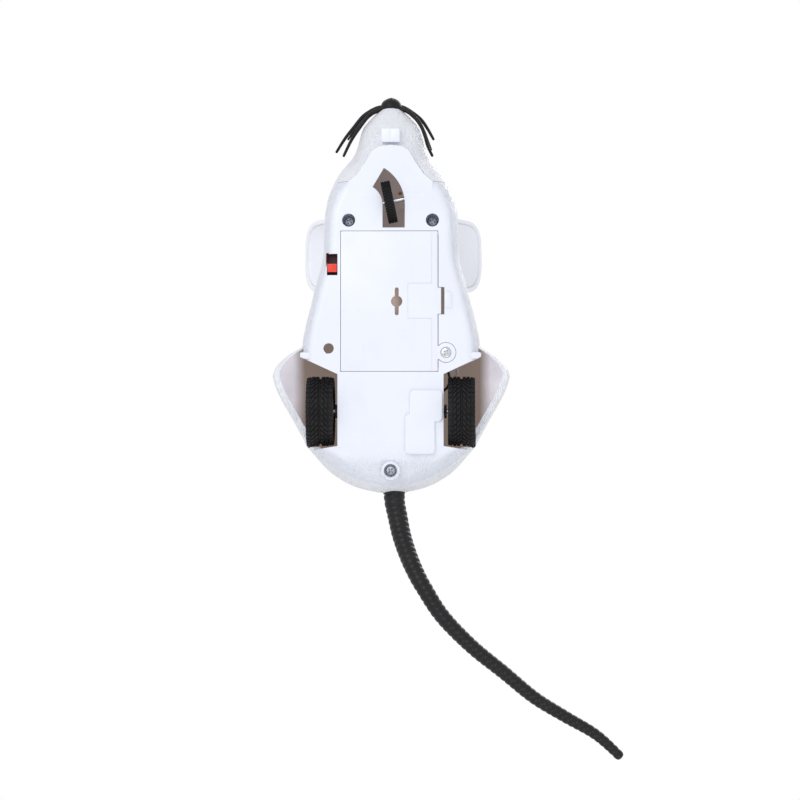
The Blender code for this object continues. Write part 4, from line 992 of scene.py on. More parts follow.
def lining_material(colours):
    """Inside of the shell's plastic: lavender where light reaches it, a painted shade of grey-brown further
    in and higher up, and a painted glow over it all.
    """
    made, tree, shader = new_material("shell_lining_painted_shade")
    place = add(tree, "SeparateXYZ", {0: add(tree, "TexCoord").outputs["Object"]})
    out = math_node(tree, "ABSOLUTE", place.outputs["X"])
    # Painted shade: the lining turns grey-brown further in and higher up.
    deep = ranged(tree, out, 0.0405, 0.0455, 1.0, 0.0)
    rise = ranged(tree, place.outputs["Z"], 0.040, 0.052, 0.0, 1.0)
    lining = tuple(colours.lining)
    base = group_node(tree, "mould_grain", {"Color": lining, "Shade": darker(lining, 0.86),
                                            "Patches": 90.0, "Smooth": 0.4, "Rough": 0.6})
    tint = mix_colour(tree, math_node(tree, "MAXIMUM", deep, rise), base.outputs["Color"],
                      PAINTED_SHADE_TAUPE)
    tree.links.new(tint, shader.inputs["Base Color"])
    # Painted light: the lining glows as emission.
    glow(tree, shader, tint, 0.5)
    tree.links.new(base.outputs["Roughness"], shader.inputs["Roughness"])
    bump(tree, shader, base.outputs["Height"], 0.00005, 0.8)
    return made


def two_toned(outer, inner, first, second):
    """Gives the outer form the first finish and faces cut by the inner form the second."""
    for obj in (outer, inner):
        obj.data.materials.append(first)
        obj.data.materials.append(second)
    for face in inner.data.polygons:
        face.material_index = 1


class MOUSE_OT_shell(bpy.types.Operator):
    """Builds the fur-moulded upper shell with its lined haunches, screw posts and wheel rooms."""

    bl_idname = "mouse.shell"
    bl_label = "Upper shell"

    def execute(self, context):
        shell = hull("upper_shell_fur", 0.0, True, 250, 190, fur_relief(context.scene.mouse_fur, 3.0))
        inner = hull("shell_room", -WALL, True, 90, 80)
        lining = lining_material(context.scene.mouse_colours)
        # The inner faces take the lining with its painted shade and painted glow.
        two_toned(shell, inner, finish_of("shell"), lining)
        carve(shell, "DIFFERENCE", inner,
              prism("chassis_room", chassis_plan(0.00014), -0.02, PART_Z + 0.00014))
        posts = [hole(f"post_{side}", x, y, 0.0034, max(PART_Z + 0.0005, ceiling + 0.0020),
                      self.roof(x, y) - WALL * 0.6)
                 for side, (x, y, ceiling) in CASE_SCREWS.items()]
        for post in posts:
            # The posts take the lining with its painted shade and painted glow all over.
            two_toned(post, post, finish_of("shell"), lining)
        carve(shell, "UNION", *posts)
        bores = [hole(f"bore_{side}", x, y, SCREW_R + 0.00035, 0.0, 0.0262, 20)
                 for side, (x, y, _) in CASE_SCREWS.items()]
        tail_hole = turned("tail_hole", ((0, 0.08), (0.0052, 0.08), (0.0052, 0.1), (0, 0.1)),
                           (TAIL_X, 0, TAIL_Z), "Y", 64)
        room_radius, room_inner = TYRE_R + 0.0008, 0.025
        room_outer = TYRE_X + TYRE_WIDTH / 2 + 0.0004
        room = turned("tyre_room_right", ((0, room_inner), (room_radius, room_inner),
                                          (room_radius, room_outer), (0, room_outer)),
                      (0, AXLE_Y, AXLE_Z), "X", 96)
        mirrored = room.copy()
        mirrored.data = room.data.copy()
        mirrored.data.transform(Matrix.Diagonal((-1, 1, 1, 1)))
        mirrored.data.flip_normals()
        context.scene.collection.objects.link(mirrored)
        carve(shell, "DIFFERENCE", *bores, tail_hole, room, mirrored)
        place_piece(shell, None, "chassis_body", ("upper_shell",))
        return {"FINISHED"}

    def roof(self, x, y):
        """Height of the hull's top over the lowest side of a post that stands at a point."""
        reach, heights = 0.0034, []
        for step in (-reach, 0.0, reach):
            half = section(y + step, 0.0, True, 120)
            heights.append(min((abs(px - abs(x) - reach), z) for px, z in half if z > PART_Z)[1])
        return min(heights)


def ear_point(side, scale, depth, angle):
    """A point of an ear's dish, on a rounded-square outline that leans out."""
    up = Vector((math.sin(EAR_TILT), 0, math.cos(EAR_TILT)))
    out = Vector((math.cos(EAR_TILT), 0, -math.sin(EAR_TILT)))
    c, s = math.cos(angle), math.sin(angle)
    square = (abs(c) ** EAR_SQUARE + abs(s) ** EAR_SQUARE) ** (-1 / EAR_SQUARE)
    wave = 0.00025 * noise.noise((c * 2.5, s * 2.5, side + 4.0)) * scale
    place = EAR_CENTRE + up * (s * square * scale * EAR_HALF_HEIGHT) + out * (depth + wave)
    place.y += c * square * scale * EAR_HALF_LENGTH
    return (side * place.x, place.y, place.z)


class MOUSE_OT_ears(bpy.types.Operator):
    """Builds the two dished ears, each with a crease inside its rim."""

    bl_idname = "mouse.ears"
    bl_label = "Ears"

    def execute(self, context):
        dish = ((0.02, -0.0031), (0.15, -0.0031), (0.30, -0.0030), (0.45, -0.0028), (0.58, -0.0025),
                (0.68, -0.0019), (0.76, -0.0013), (0.81, -0.0006), (0.840, -0.0002), (0.852, -0.00050),
                (0.866, -0.00050), (0.878, 0.0), (0.92, 0.0001), (0.955, 0.0))
        half = EAR_WALL / 2
        front = [(scale, depth + half) for scale, depth in dish]
        edge = [(0.980, half * 0.85), (0.994, half * 0.45), (1.0, 0.0), (0.994, -half * 0.45),
                (0.980, -half * 0.85)]
        back = [(scale, depth - half) for scale, depth in reversed(dish) if not 0.845 < scale < 0.87]
        for side, name in ((-1, "left"), (1, "right")):
            rings = [[ear_point(side, scale, depth, math.tau * k / 112) for k in range(112)]
                     for scale, depth in front + edge + back]
            ear = loft(f"ear_{name}_dish", rings, smooth_angle=60.0)
            ear.data.materials.append(finish_of("ear"))
            ear.data.materials.append(finish_of("rim"))
            # The crease faces take the painted shade.
            for face in ear.data.polygons:
                if 9 * 112 <= face.index < 10 * 112:
                    face.material_index = 1
            carve(ear, "DIFFERENCE", hull("ear_seat", -0.0006, True, 90, 80), smooth_angle=60.0)
            place_piece(ear, None, "chassis_body", (f"ear_{name}",))
        return {"FINISHED"}


WHISKERS = {
    "left": (
        ((-0.0010, -0.0868, 0.0200), (-0.0059, -0.0872, 0.0212), (-0.0124, -0.0838, 0.0218),
         (-0.0173, -0.0783, 0.0226), (-0.0213, -0.0735, 0.0240), (-0.0252, -0.0676, 0.0255)),
        ((-0.0010, -0.0866, 0.0185), (-0.0070, -0.0852, 0.0180), (-0.0107, -0.0826, 0.0172),
         (-0.0143, -0.0778, 0.0168), (-0.0181, -0.0720, 0.0172), (-0.0216, -0.0650, 0.0182)),
        ((-0.0010, -0.0868, 0.0215), (-0.0064, -0.0864, 0.0240), (-0.0118, -0.0830, 0.0264),
         (-0.0163, -0.0786, 0.0278), (-0.0200, -0.0738, 0.0290)),
    ),
    "right": (
        ((0.0010, -0.0868, 0.0200), (0.0050, -0.0874, 0.0212), (0.0096, -0.0850, 0.0218),
         (0.0138, -0.0817, 0.0226), (0.0167, -0.0777, 0.0240), (0.0192, -0.0734, 0.0255)),
        ((0.0010, -0.0866, 0.0185), (0.0062, -0.0858, 0.0180), (0.0104, -0.0828, 0.0172),
         (0.0137, -0.0783, 0.0168), (0.0155, -0.0736, 0.0170), (0.0167, -0.0692, 0.0174),
         (0.0187, -0.0650, 0.0182)),
        ((0.0010, -0.0868, 0.0215), (0.0066, -0.0862, 0.0240), (0.0112, -0.0826, 0.0264),
         (0.0146, -0.0780, 0.0278), (0.0166, -0.0730, 0.0288), (0.0181, -0.0690, 0.0294)),
    ),
}


class MOUSE_OT_face(bpy.types.Operator):
    """Builds the rubber nose with its whiskers, the two front teeth and the glossy eyes."""

    bl_idname = "mouse.face"
    bl_label = "Nose, whiskers, teeth and eyes"

    def execute(self, context):
        self.nose()
        self.teeth()
        for side, name in ((-1, "left"), (1, "right")):
            self.eye(side, name)
        return {"FINISHED"}

    def nose(self):
        rings, centre = [], Vector((0, -0.0871, 0.0200))
        for i in range(1, 32):
            lean = math.pi * i / 32
            ring = []
            for k in range(48):
                turn = math.tau * k / 48
                way = Vector((math.sin(lean) * math.cos(turn), -math.cos(lean), math.sin(lean)
                              * math.sin(turn)))
                dent = sum(0.0007 * math.exp(-((way - spot).length / 0.26) ** 2)
                           for spot in (Vector((0.42, -0.86, -0.28)), Vector((-0.42, -0.86, -0.28))))
                ring.append(centre + Vector((way.x * 0.0048, way.y * 0.0046, way.z * 0.0046)) - way * dent)
            rings.append(ring)
        pieces = [loft("nose_ball", rings, smooth_angle=180.0)]
        band = [(math.sin(a) * 0.0066, -0.0829 - math.cos(a) * 0.0060, 0.0200, 0.0011 - 0.0004 * abs(a)
                 / 1.2)
                for a in [(-1.2 + 2.4 * k / 24) for k in range(25)]]
        pieces.append(tube("nose_band", band, 16))
        for side, rows in WHISKERS.items():
            for k, row in enumerate(rows):
                line = evenly(smooth_route([(*point, 0.0) for point in row], 8), 44)
                thick = (0.00112, 0.00115, 0.00090)[k]
                line = [(x, y, z, thick * (1.0 - 0.44 * i / 43)) for i, (x, y, z, _) in enumerate(line)]
                tip, last = Vector(line[-1][:3]), Vector(line[-2][:3])
                ahead = (tip - last).normalized()
                line += [(*(tip + ahead * line[-1][3] * math.sin(a)), line[-1][3] * math.cos(a))
                         for a in (0.5, 0.95, 1.35)]
                pieces.append(tube(f"whisker_{side}_{k}", line, 14))
        nose = joined("nose_and_whiskers", pieces, 180.0)
        place_piece(nose, "soft", "chassis_body", ("nose_whiskers",))

    def teeth(self):
        pair = []
        for side in (-1, 1):
            x = sorted((side * -0.0002, side * 0.0042))
            tooth = prism("tooth", rounded_plan(x, (-0.0760, -0.0697), 0.0006), 0.0052, 0.0112, 0.0004, 3)
            for vertex in tooth.data.vertices:
                if vertex.co.z < 0.0070:
                    vertex.co.z += 0.0005 * ((vertex.co.y + 0.0760) / 0.0063) ** 2
            pair.append(tooth)
        gum = prism("gum", rounded_plan((-0.0045, 0.0045), (-0.0763, -0.0699), 0.0010), 0.0078, 0.0108,
                    0.0003)
        teeth = joined("front_teeth_pair", pair + [gum])
        place_piece(teeth, "teeth", "chassis_body", ("front_teeth",))

    def eye(self, side, name):
        centre = Vector((side * EYE_CENTRE.x, EYE_CENTRE.y, EYE_CENTRE.z))
        out = Vector((side * 0.80, -0.35, 0.48)).normalized()
        profile = [(EYE_R * math.sin(a), EYE_R * math.cos(a)) for a in
                   [math.pi * k / 28 for k in range(1, 20)]]
        profile = [(0, EYE_R)] + profile + [(0, profile[-1][1])]
        ball = turned(f"eye_{name}_bead", profile, (0, 0, 0), "Z", 56, smooth_angle=60.0)
        lid = turned("lid", ((EYE_R * 1.02, 0.0002), (EYE_R * 1.10, 0.0009), (EYE_R * 1.20, 0.0004),
                             (EYE_R * 1.22, -0.0010), (EYE_R * 0.98, -0.0012)), (0, 0, 0), "Z", 56, True)
        for piece in (ball, lid):
            piece.data.transform(Matrix.Translation(centre)
                                 @ out.to_track_quat("Z", "Y").to_matrix().to_4x4())
        lid.name = f"eye_{name}_lid"
        place_piece(ball, "eye", "chassis_body", (f"eye_{name}",))
        place_piece(lid, "shell", "chassis_body")


# --- Chassis and battery door ---


class MOUSE_OT_chassis(bpy.types.Operator):
    """Builds the chassis with its slot, wells, bay, gear bulges, wheel notches and furred rump."""

    bl_idname = "mouse.chassis"
    bl_label = "Chassis"

    def execute(self, context):
        def where(x, y, z):
            side = min(1.0, max(0.0, (z - FLOOR_Z - 0.0005) / 0.0020))
            rump = min(0.75, max(0.0, (y - 0.066) / 0.016))
            return max(side, rump)
        chassis = hull("chassis_shell", 0.0, False, 250, 190,
                       fur_relief(context.scene.mouse_fur, 11.0, where))
        inner = hull("chassis_room", -WALL, False, 90, 80)
        # The chassis's inner faces take the painted shade taupe.
        two_toned(chassis, inner, finish_of("chassis"), finish_of("painted_shade_taupe"))
        carve(chassis, "INTERSECT", prism("chassis_block", chassis_plan(0.0), -0.02, PART_Z))
        carve(chassis, "DIFFERENCE", inner)
        carve(chassis, "UNION", *self.tongue(), *self.walls(), *self.posts())
        carve(chassis, "DIFFERENCE", *self.openings())
        carve(chassis, "DIFFERENCE", *self.wells())
        place_piece(chassis, None, "chassis_body", ("chassis",))
        return {"FINISHED"}

    def tongue(self):
        front = [(x, y) for x, y in chassis_plan(0.0) if abs(x) < 0.03]
        rear = [(0.019, TONGUE_END), (-0.019, TONGUE_END)]
        outline = [*[p for p in front if p[0] >= 0], *rear, *[p for p in front if p[0] < 0]]
        return [prism("tongue_plate", outline, FLOOR_Z, FLOOR_Z + 0.0030)]

    def walls(self):
        made = [block("bay_walls", (BAY_X[0] - BAY_WALL, BAY_X[1] + BAY_WALL),
                      (BAY_Y[0] - BAY_WALL, BAY_Y[1] + BAY_WALL), (DECK_Z - 0.0006, BAY_TOP + BAY_WALL))]
        for side in (-1, 1):
            x = sorted((side * (WELL_X - WELL_WALL), side * (WELL_X + 0.0005)))
            made.append(block(f"well_wall_{side}", x, (0.0345, 0.0681), (FLOOR_Z + 0.0004, WELL_TOP)))
            tab = sorted((side * 0.0363, side * 0.0408))
            made.append(prism(f"corner_tab_{side}", rounded_plan(tab, (0.0253, 0.0282), 0.0007),
                              FLOOR_Z + 0.0004, FLOOR_Z + 0.0030, 0.0003))
        for k, (x, y) in enumerate((((0.0085, 0.0236), (0.0422, 0.0566)),
                                    ((0.0064, 0.0202), (0.0530, 0.0713)))):
            made.append(prism(f"gear_bulge_{k}", rounded_plan(x, y, 0.0022), FLOOR_Z - 0.0012, DECK_Z
                              - 0.0002,
                              0.0008, 4))
        for k, x in enumerate((-0.0140, -0.0020)):
            made.append(block(f"motor_rest_{k}", (x, x + 0.0015), (0.0545, 0.0665),
                              (DECK_Z - 0.0006, 0.0164)))
        return made

    def posts(self):
        made = [hole(f"screw_post_{side}", x, y, 0.0042, FLOOR_Z + 0.0009, ceiling + 0.0016)
                for side, (x, y, ceiling) in CASE_SCREWS.items()]
        made.append(hole("lug_post", LUG_X, LUG_Y, 0.0031, DECK_Z - 0.0004, 0.016))
        made.append(hole("pivot_post", PIVOT_X, PIVOT_Y, 0.0020, FLOOR_Z + 0.0005, 0.0143))
        made.append(block("catch_block", (SLIT_X, 0.0277), (-0.0020, 0.0054),
                          (FLOOR_Z - 0.0005, DECK_Z - 0.0005), 0.0003))
        return made

    def openings(self):
        low, high, gap = -0.01, DECK_Z + 0.0001, DOOR_GAP * 0.55
        made = [
            prism("front_slot", front_slot_plan(), -0.01, 0.011),
            block("door_opening", (DOOR_X[0] - gap, DOOR_X[1] + gap), (DOOR_Y[0] - gap, DOOR_Y[1] + gap),
                  (low, high)),
            block("latch_opening", (0.0200, SLIT_X), (LATCH_Y[0] - gap, LATCH_Y[1] + gap), (low, high)),
            hole("lug_opening", LUG_X, LUG_Y, LUG_R + gap, low, high, 64),
            hole("lug_bore", LUG_X, LUG_Y, 0.0015, 0.0, 0.0145),
            block("bay_room", BAY_X, BAY_Y, (0.0, BAY_TOP)),
            block("switch_slot", *SWITCH_SLOT, (low, PART_Z + 0.0006)),
            hole("round_hole", -0.0279, 0.0235, 0.00235, low, 0.0095, 56),
            hole("round_hole_notch", -0.0287, 0.0253, 0.0006, low, 0.0095, 16),
            hole("pivot_bore", PIVOT_X, PIVOT_Y, 0.00125, 0.0085, 0.02),
        ]
        return made

    def wells(self):
        made = []
        for side, (x, y, ceiling) in CASE_SCREWS.items():
            made.append(hole(f"screw_well_{side}", x, y, WELL_R, -0.01, ceiling, 56))
            made.append(hole(f"screw_bore_{side}", x, y, 0.0017, 0.0, 0.02, 24))
        for side in (-1, 1):
            plan = prism(f"wheel_well_{side}", well_plan(side), -0.01, 0.03)
            made.append(plan)
            reach = sorted((side * (WELL_X + 0.0003), side * 0.07))
            radius = TYRE_R + 0.0012
            made.append(turned(f"tyre_room_{side}", ((0, reach[0]), (radius, reach[0]), (radius, reach[1]),
                                                     (0, reach[1])), (0, AXLE_Y, AXLE_Z), "X", 96))
            reach = sorted((side * 0.02, side * 0.03))
            made.append(turned(f"bush_hole_{side}", ((0, reach[0]), (0.0023, reach[0]), (0.0023, reach[1]),
                                                     (0, reach[1])), (0, AXLE_Y, AXLE_Z), "X", 32))
        return made


def cross_screw(name, place, sizes, turn):
    """A screw whose domed head faces down, with a cross recess and a threaded shank."""
    x, y, low = place
    head, height, shank, top = sizes
    under = low + height
    profile = [(0, low), (head * 0.55, low + height * 0.03), (head * 0.86, low + height * 0.14),
               (head * 0.98, low + height * 0.36), (head, low + height * 0.62), (head * 0.97, under)]
    pitch = shank * 0.75
    turns = int((top - under) / pitch)
    for k in range(turns):
        profile += [(shank * 0.80, under + pitch * (k + 0.05)), (shank, under + pitch * (k + 0.5))]
    profile += [(shank * 0.5, top), (0, top)]
    screw = turned(name, profile, (x, y, 0), "Z", 40)
    for k in range(2):
        spin = Matrix.Translation((x, y, 0)) @ Matrix.Rotation(turn + math.pi / 2 * k, 4, "Z")
        rings = []
        for z, long, wide in ((low - height * 0.2, 0.66, 0.16),
                              (low + max(0.0011, height * 0.66), 0.34, 0.10)):
            corners = ((-long, -wide), (long, -wide), (long, wide), (-long, wide))
            rings.append([spin @ Vector((a * head, b * head, z)) for a, b in corners])
        carve(screw, "DIFFERENCE", loft(f"{name}_cross_{k}", rings))
    return screw


class MOUSE_OT_door(bpy.types.Operator):
    """Builds the battery door with its panel line, thumb pad, packing keyhole, catch and screwed lug."""

    bl_idname = "mouse.door"
    bl_label = "Battery door"

    def execute(self, context):
        flush = (FLOOR_Z, FLOOR_Z + DOOR_T)
        edge = DOOR_X[1] - 0.0018
        door = prism("battery_door_panel", rounded_plan(DOOR_X, DOOR_Y, 0.0005, 4), *flush)
        carve(
            door, "UNION",
            prism("door_catch", rounded_plan((edge, LATCH_X), LATCH_Y, 0.0004, 4), *flush),
            block("door_lug_neck", (edge, LUG_X), (LUG_Y - 0.0030, LUG_Y + 0.0030), flush),
            hole("door_lug", LUG_X, LUG_Y, LUG_R, *flush, 64),
        )
        soften(door, 0.00012, 2)
        carve(door, "DIFFERENCE", *self.openings(), *self.panel_line())
        place_piece(door, "door", "door", ("battery_door",))
        screw = cross_screw("door_screw_cross", (LUG_X, LUG_Y, FLOOR_Z + 0.0001),
                            (0.00205, 0.0006, 0.0011, 0.0100), 0.55)
        place_piece(screw, "bright", "door", ("door_screw",))
        return {"FINISHED"}

    def openings(self):
        x, y, slot, reach = 0.0028, 0.0023, 0.0009, 0.0063
        return [
            hole("keyhole_round", x, y, 0.00255, -0.001, 0.01, 56),
            prism("keyhole_slots", rounded_plan((x - slot, x + slot), (y - reach, y + reach), slot * 0.98),
                  -0.001, 0.01),
            hole("lug_head_room", LUG_X, LUG_Y, 0.0026, -0.001, FLOOR_Z + 0.0009, 48),
            hole("lug_hole", LUG_X, LUG_Y, 0.0015, -0.001, 0.01, 32),
        ]

    def panel_line(self):
        """Shallow line that runs from the front edge round the thumb pad to the rear edge."""
        (left, right), (front, rear), line, depth = PAD_X, PAD_Y, 0.00026, FLOOR_Z + 0.00022
        stretches = (
            ((left, left + line), (front, rear)), ((left, right), (front, front + line)),
            ((left, right), (rear - line, rear)),
            ((right - line, right), (DOOR_Y[0] + 0.0008, front + line)),
            ((right - line, right), (rear - line, DOOR_Y[1] - 0.0008)),
        )
        return [block(f"panel_line_{k}", x, y, (-0.001, depth)) for k, (x, y) in enumerate(stretches)]


class MOUSE_OT_fasteners(bpy.types.Operator):
    """Builds the three case screws, deep in their wells, each with its cross at its own angle."""

    bl_idname = "mouse.fasteners"
    bl_label = "Case screws"

    def execute(self, context):
        turns = {"left": 0.5, "right": 0.2, "rear": 0.75}
        for side, (x, y, ceiling) in CASE_SCREWS.items():
            screw = cross_screw(f"case_screw_{side}_cross", (x, y, ceiling - 0.0019),
                                (SCREW_HEAD_R, 0.0016, SCREW_R, 0.0245), turns[side])
            place_piece(screw, "zinc", "chassis_body", (f"case_screw_{side}",))
        return {"FINISHED"}


class MOUSE_OT_switch(bpy.types.Operator):
    """Builds the ridged red knob and the dark slide plate that it rides on."""

    bl_idname = "mouse.switch"
    bl_label = "Switch knob"

    def execute(self, context):
        across, along = KNOB_HALF
        knob = prism("switch_knob_ridged", rounded_plan((SWITCH_X - across, SWITCH_X + across),
                                                        (SWITCH_Y - along, SWITCH_Y + along), 0.0004, 4),
                     0.0046, 0.0114)
        soften(knob, 0.00025, 3)
        grooves = [block(f"knob_groove_{k}", (SWITCH_X - 0.003, SWITCH_X + 0.003),
                         (SWITCH_Y + 0.0009 * k - 0.00016, SWITCH_Y + 0.0009 * k + 0.00016),
                         (0.0040, 0.0049))
                   for k in (-1, 0, 1)]
        carve(knob, "DIFFERENCE", *grooves)
        place_piece(knob, "knob", "switch", ("switch_knob",))
        (left, right), (front, rear), wall = *SWITCH_SLOT, 0.0005
        frame_round = prism("switch_slot_frame",
                            rounded_plan((left - wall, right + wall), (front - wall, rear + wall),
                                                              0.0006, 4), DECK_Z + 0.0001, 0.0120)
        carve(frame_round, "DIFFERENCE", block("frame_room", (left, right), (front, rear), (0.0, 0.0116)))
        place_piece(frame_round, "slide", "chassis_body")
        return {"FINISHED"}


# --- Wheels ---


def tread_blocks(name, wheel_frame, blocks, base):
    """Tread blocks as one mesh: lists of (angle, along, radius) corners that stand on the base radius."""
    bm = bmesh.new()
    for corners in blocks:
        count = len(corners)
        middle = [sum(corner[axis] for corner in corners) / count for axis in range(2)]
        rows = []
        for share, raised in ((1.0, False), (0.88, True)):
            row = []
            for angle, along, radius in corners:
                angle = middle[0] + (angle - middle[0]) * share
                along = middle[1] + (along - middle[1]) * share
                radius = radius if raised else base
                row.append(bm.verts.new(wheel_frame @ Vector((radius * math.cos(angle),
                                                              radius * math.sin(angle), along))))
            rows.append(row)
        for k in range(count):
            bm.faces.new((rows[0][k - 1], rows[0][k], rows[1][k], rows[1][k - 1]))
        bm.faces.new(rows[0])
        bm.faces.new(rows[1])
    return mesh_object(name, bm, 20.0)


def slanted(angle, pitch, side, reach, slant, wide, radii):
    """Corners of a block between two distances from the tyre's middle, swept back by slant pitches."""
    corners = ((0, 0.0), (1, 0.0), (1, wide), (0, wide))
    return [(angle + (slant * end + shift) * pitch, side * reach[end], radii[end]) for end,
            shift in corners]


class MOUSE_OT_rear_wheels(bpy.types.Operator):
    """Builds the two rear wheels: chevron tyres with shoulder lugs on dished, five-hole hubs."""

    bl_idname = "mouse.rear_wheels"
    bl_label = "Rear wheels"

    def execute(self, context):
        settings = context.scene.mouse_wheels
        for side, name in ((-1, "left"), (1, "right")):
            self.tyre(side, name, settings.rear_lugs, settings.tread)
            self.hub(side, name)
        return {"FINISHED"}

    def tyre(self, side, name, lugs, tread):
        half, centre = TYRE_WIDTH / 2, (side * TYRE_X, AXLE_Y, AXLE_Z)
        base = TYRE_R - tread
        corner = 0.0009
        shoulder = [(base - corner * (1 - math.cos(a)), half - corner * (1 - math.sin(a)))
                    for a in (0.0, 0.4, 0.8, 1.2, math.pi / 2)]
        groove = [(base, 0.0005), (base - 0.0004, 0.0003)]
        outer = [(r, t) for r, t in reversed(shoulder)] + groove
        outer += [(r, -t) for r, t in reversed(outer)]
        wall = [(HUB_R + 0.0022, -half + 0.0002), (HUB_R + 0.0016, -half), (HUB_R + 0.0003, -half),
                (HUB_R + 0.0003, half), (HUB_R + 0.0016, half), (HUB_R + 0.0022, half - 0.0002)]
        carcass = turned("carcass", outer + wall, centre, "X", 120, True)
        pitch = math.tau / lugs
        blocks = []
        for k in range(lugs):
            for way in (-1, 1):
                start = k * pitch
                blocks.append(slanted(start, pitch, way, (0.0006, 0.0021), 0.75, 0.74, (TYRE_R, TYRE_R)))
                blocks.append(slanted(start + 0.80 * pitch, pitch, way, (0.0023, 0.0038), 0.75, 0.74,
                                      (TYRE_R, TYRE_R)))
                blocks.append(slanted(start + 0.30 * pitch, pitch, way, (0.0042, half + 0.0001), 0.05, 0.70,
                                      (TYRE_R - 0.0001, TYRE_R - 0.0006)))
        lugged = tread_blocks("lugs", axis_frame("X", centre), blocks, base - 0.0007)
        tyre = joined(f"rear_tyre_{name}_chevron", [carcass, lugged], 30.0)
        place_piece(tyre, "tyre", "rear_drive", (f"rear_tyre_{name}",))

    def hub(self, side, name):
        half, centre = TYRE_WIDTH / 2, (side * TYRE_X, AXLE_Y, AXLE_Z)
        rim, bore = HUB_R, AXLE_R + GAP
        outward = ((rim, half - 0.0010), (rim - 0.0003, half - 0.0007), (rim - 0.0012, half - 0.0007),
                   (rim - 0.0015, half - 0.0010), (rim - 0.0017, 0.0012), (rim - 0.0023, 0.0010),
                   (0.0042, 0.0014), (0.0036, 0.0022), (0.0031, half - 0.0007), (0.0028, half - 0.0004),
                   (bore, half - 0.0004))
        inward = [(radius, -along) for radius, along in reversed(outward)]
        hub = turned(f"rear_hub_{name}_dished", [*outward, *inward], centre, "X", 96, True)
        holes = []
        for k in range(5):
            angle = math.tau * k / 5
            y, z = AXLE_Y + 0.0064 * math.cos(angle), AXLE_Z + 0.0064 * math.sin(angle)
            holes.append(turned(f"hub_hole_{k}",
                                ((0, -0.003), (0.0016, -0.003), (0.0016, 0.003), (0, 0.003)),
                                (side * TYRE_X, y, z), "X", 32))
        carve(hub, "DIFFERENCE", *holes)
        place_piece(hub, "hub", "rear_drive", (f"rear_hub_{name}",))


class MOUSE_OT_front_wheel(bpy.types.Operator):
    """Builds the knurled front wheel and the plate with two rivets that closes its slot."""

    bl_idname = "mouse.front_wheel"
    bl_label = "Front wheel"

    def execute(self, context):
        lugs, half = context.scene.mouse_wheels.front_lugs, WHEEL_WIDTH / 2 - 0.00012
        centre, tread = (WHEEL_X, WHEEL_Y, WHEEL_R), 0.00050
        outer = WHEEL_R - 0.0002
        base = outer - tread
        carcass = turned("front_carcass", (
            (base - 0.0003, half), (base, half - 0.0004), (base, -half + 0.0004), (base - 0.0003, -half),
            (0.0069, -half), (0.0069, half)), centre, "X", 96, True, -STEER)
        pitch = math.tau / lugs
        radii = (outer, outer)
        blocks = []
        for k in range(lugs):
            blocks.append(slanted(k * pitch, pitch, 1, (0.0007, half), 0.0, 0.56, radii))
            blocks.append(slanted(k * pitch, pitch, -1, (0.0007, half), 0.0, 0.56, radii))
            blocks.append(slanted((k + 0.5) * pitch, pitch, 1, (-0.0007, 0.0007), 0.0, 0.56, radii))
        lugged = tread_blocks("front_lugs", axis_frame("X", centre, -STEER), blocks, base - 0.0003)
        tyre = joined("front_tyre_knurled", [carcass, lugged], 30.0)
        place_piece(tyre, "tyre", "front_wheel", ("front_tyre",))
        width = half - 0.0002
        hub = turned("front_hub_webbed", (
            (0.0066, width), (0.0057, width), (0.0054, 0.0006), (0.0029, 0.0006), (0.0026, width),
            (0.00125, width), (0.00125, -width), (0.0026, -width), (0.0029, -0.0006), (0.0054, -0.0006),
            (0.0057, -width), (0.0066, -width)), centre, "X", 72, True, -STEER)
        place_piece(hub, "hard", "front_wheel", ("front_hub",))
        self.slot_plate()
        return {"FINISHED"}

    def slot_plate(self):
        # The slot plate takes the painted shade taupe.
        plate = prism("slot_plate_ribbed", rounded_plan(PLATE_X, PLATE_Y, 0.0012), *PLATE_Z, 0.0002)
        spots = [hole(f"plate_hole_{k}", x, y, 0.00055, PLATE_Z[0] - 0.001, PLATE_Z[1] + 0.001, 24)
                 for k, (x, y) in enumerate(((-0.0062, -0.0517), (-0.0002, -0.0526), (0.0072, -0.0330)))]
        carve(plate, "DIFFERENCE", *spots)
        place_piece(plate, "painted_shade_taupe", "chassis_body", ("slot_plate",))
        for k, (x, y) in enumerate(((0.0040, -0.0481), (0.0043, -0.0432))):
            low = PLATE_Z[0]
            rivet = turned(f"slot_rivet_{k}",
                           ((0, low - 0.0004), (0.0005, low - 0.00034), (0.0008, low - 0.00018),
                                               (0.0009, low + 0.0002), (0, low + 0.0002)), (x, y, 0), "Z",
                                               32)
            place_piece(rivet, "rivet", "chassis_body")


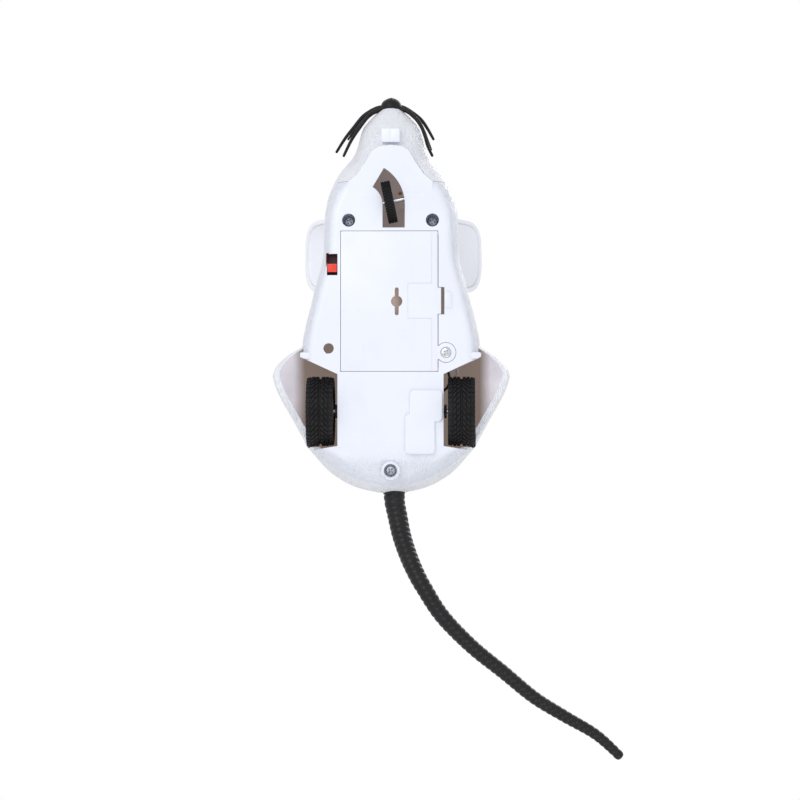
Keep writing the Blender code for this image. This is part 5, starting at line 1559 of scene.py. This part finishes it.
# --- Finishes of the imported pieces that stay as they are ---

KEPT = {
    # The steering arm takes the painted shade taupe.
    "steering_arm": "painted_shade_taupe", "front_axle": "steel", "rear_axle": "steel", "compound_gear_shaft": "steel",
    "motor_shaft": "steel", "steering_pivot_screw": "zinc", "axle_bush_left": "hard",
    "axle_bush_right": "hard",
    "axle_gear": "nylon", "compound_gear": "nylon", "gearbox_frame": "nylon", "motor": "can",
    "motor_pinion": "brass", "circuit_board": "board", "battery_cell_1": "cell_blue",
    "battery_cell_2": "cell_gold", "battery_cell_3": "cell_blue", "battery_contact_front": "steel",
    "battery_contact_rear": "steel", "switch_body": "slide", "wire_black": "wire_black",
    "wire_white": "wire_white",
}


class MOUSE_OT_finishes(bpy.types.Operator):
    """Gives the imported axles, gears, motor, cells and wires their finishes."""

    bl_idname = "mouse.finishes"
    bl_label = "Finishes of inner pieces"

    def execute(self, context):
        for node, material in KEPT.items():
            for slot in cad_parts[node].material_slots:
                slot.material = finish_of(material)
        return {"FINISHED"}


# --- Panel and running order ---

SETTINGS = {"mouse_colours": MouseColours, "mouse_fur": MouseFur, "mouse_tail": MouseTail,
            "mouse_wheels": MouseWheels, "mouse_stage": MouseStage}
BUILD_ORDER = (MOUSE_OT_stage, MOUSE_OT_tail, MOUSE_OT_shell, MOUSE_OT_ears, MOUSE_OT_face,
               MOUSE_OT_chassis,
               MOUSE_OT_door, MOUSE_OT_fasteners, MOUSE_OT_switch, MOUSE_OT_rear_wheels,
               MOUSE_OT_front_wheel,
               MOUSE_OT_finishes)


class MOUSE_PT_builder(bpy.types.Panel):
    """Lists the mouse's pieces and their settings in the sidebar."""

    bl_idname = "MOUSE_PT_builder"
    bl_label = "Toy Mouse"
    bl_space_type = "VIEW_3D"
    bl_region_type = "UI"
    bl_category = "Toy Mouse"

    def draw(self, context):
        for name, kind in SETTINGS.items():
            box = self.layout.box()
            for label in kind.__annotations__:
                box.prop(getattr(context.scene, name), label)
        for operator in BUILD_ORDER:
            self.layout.operator(operator.bl_idname)


def register():
    for name, kind in SETTINGS.items():
        bpy.utils.register_class(kind)
        setattr(bpy.types.Scene, name, PointerProperty(type=kind))
    for kind in (*BUILD_ORDER, MOUSE_PT_builder):
        bpy.utils.register_class(kind)


def unregister():
    for kind in (MOUSE_PT_builder, *reversed(BUILD_ORDER)):
        bpy.utils.unregister_class(kind)
    for name, kind in reversed(SETTINGS.items()):
        delattr(bpy.types.Scene, name)
        bpy.utils.unregister_class(kind)


def main():
    register()
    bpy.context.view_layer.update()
    for operator in BUILD_ORDER:
        getattr(bpy.ops.mouse, operator.bl_idname.split(".")[1])()


if __name__ == "__main__":
    main()
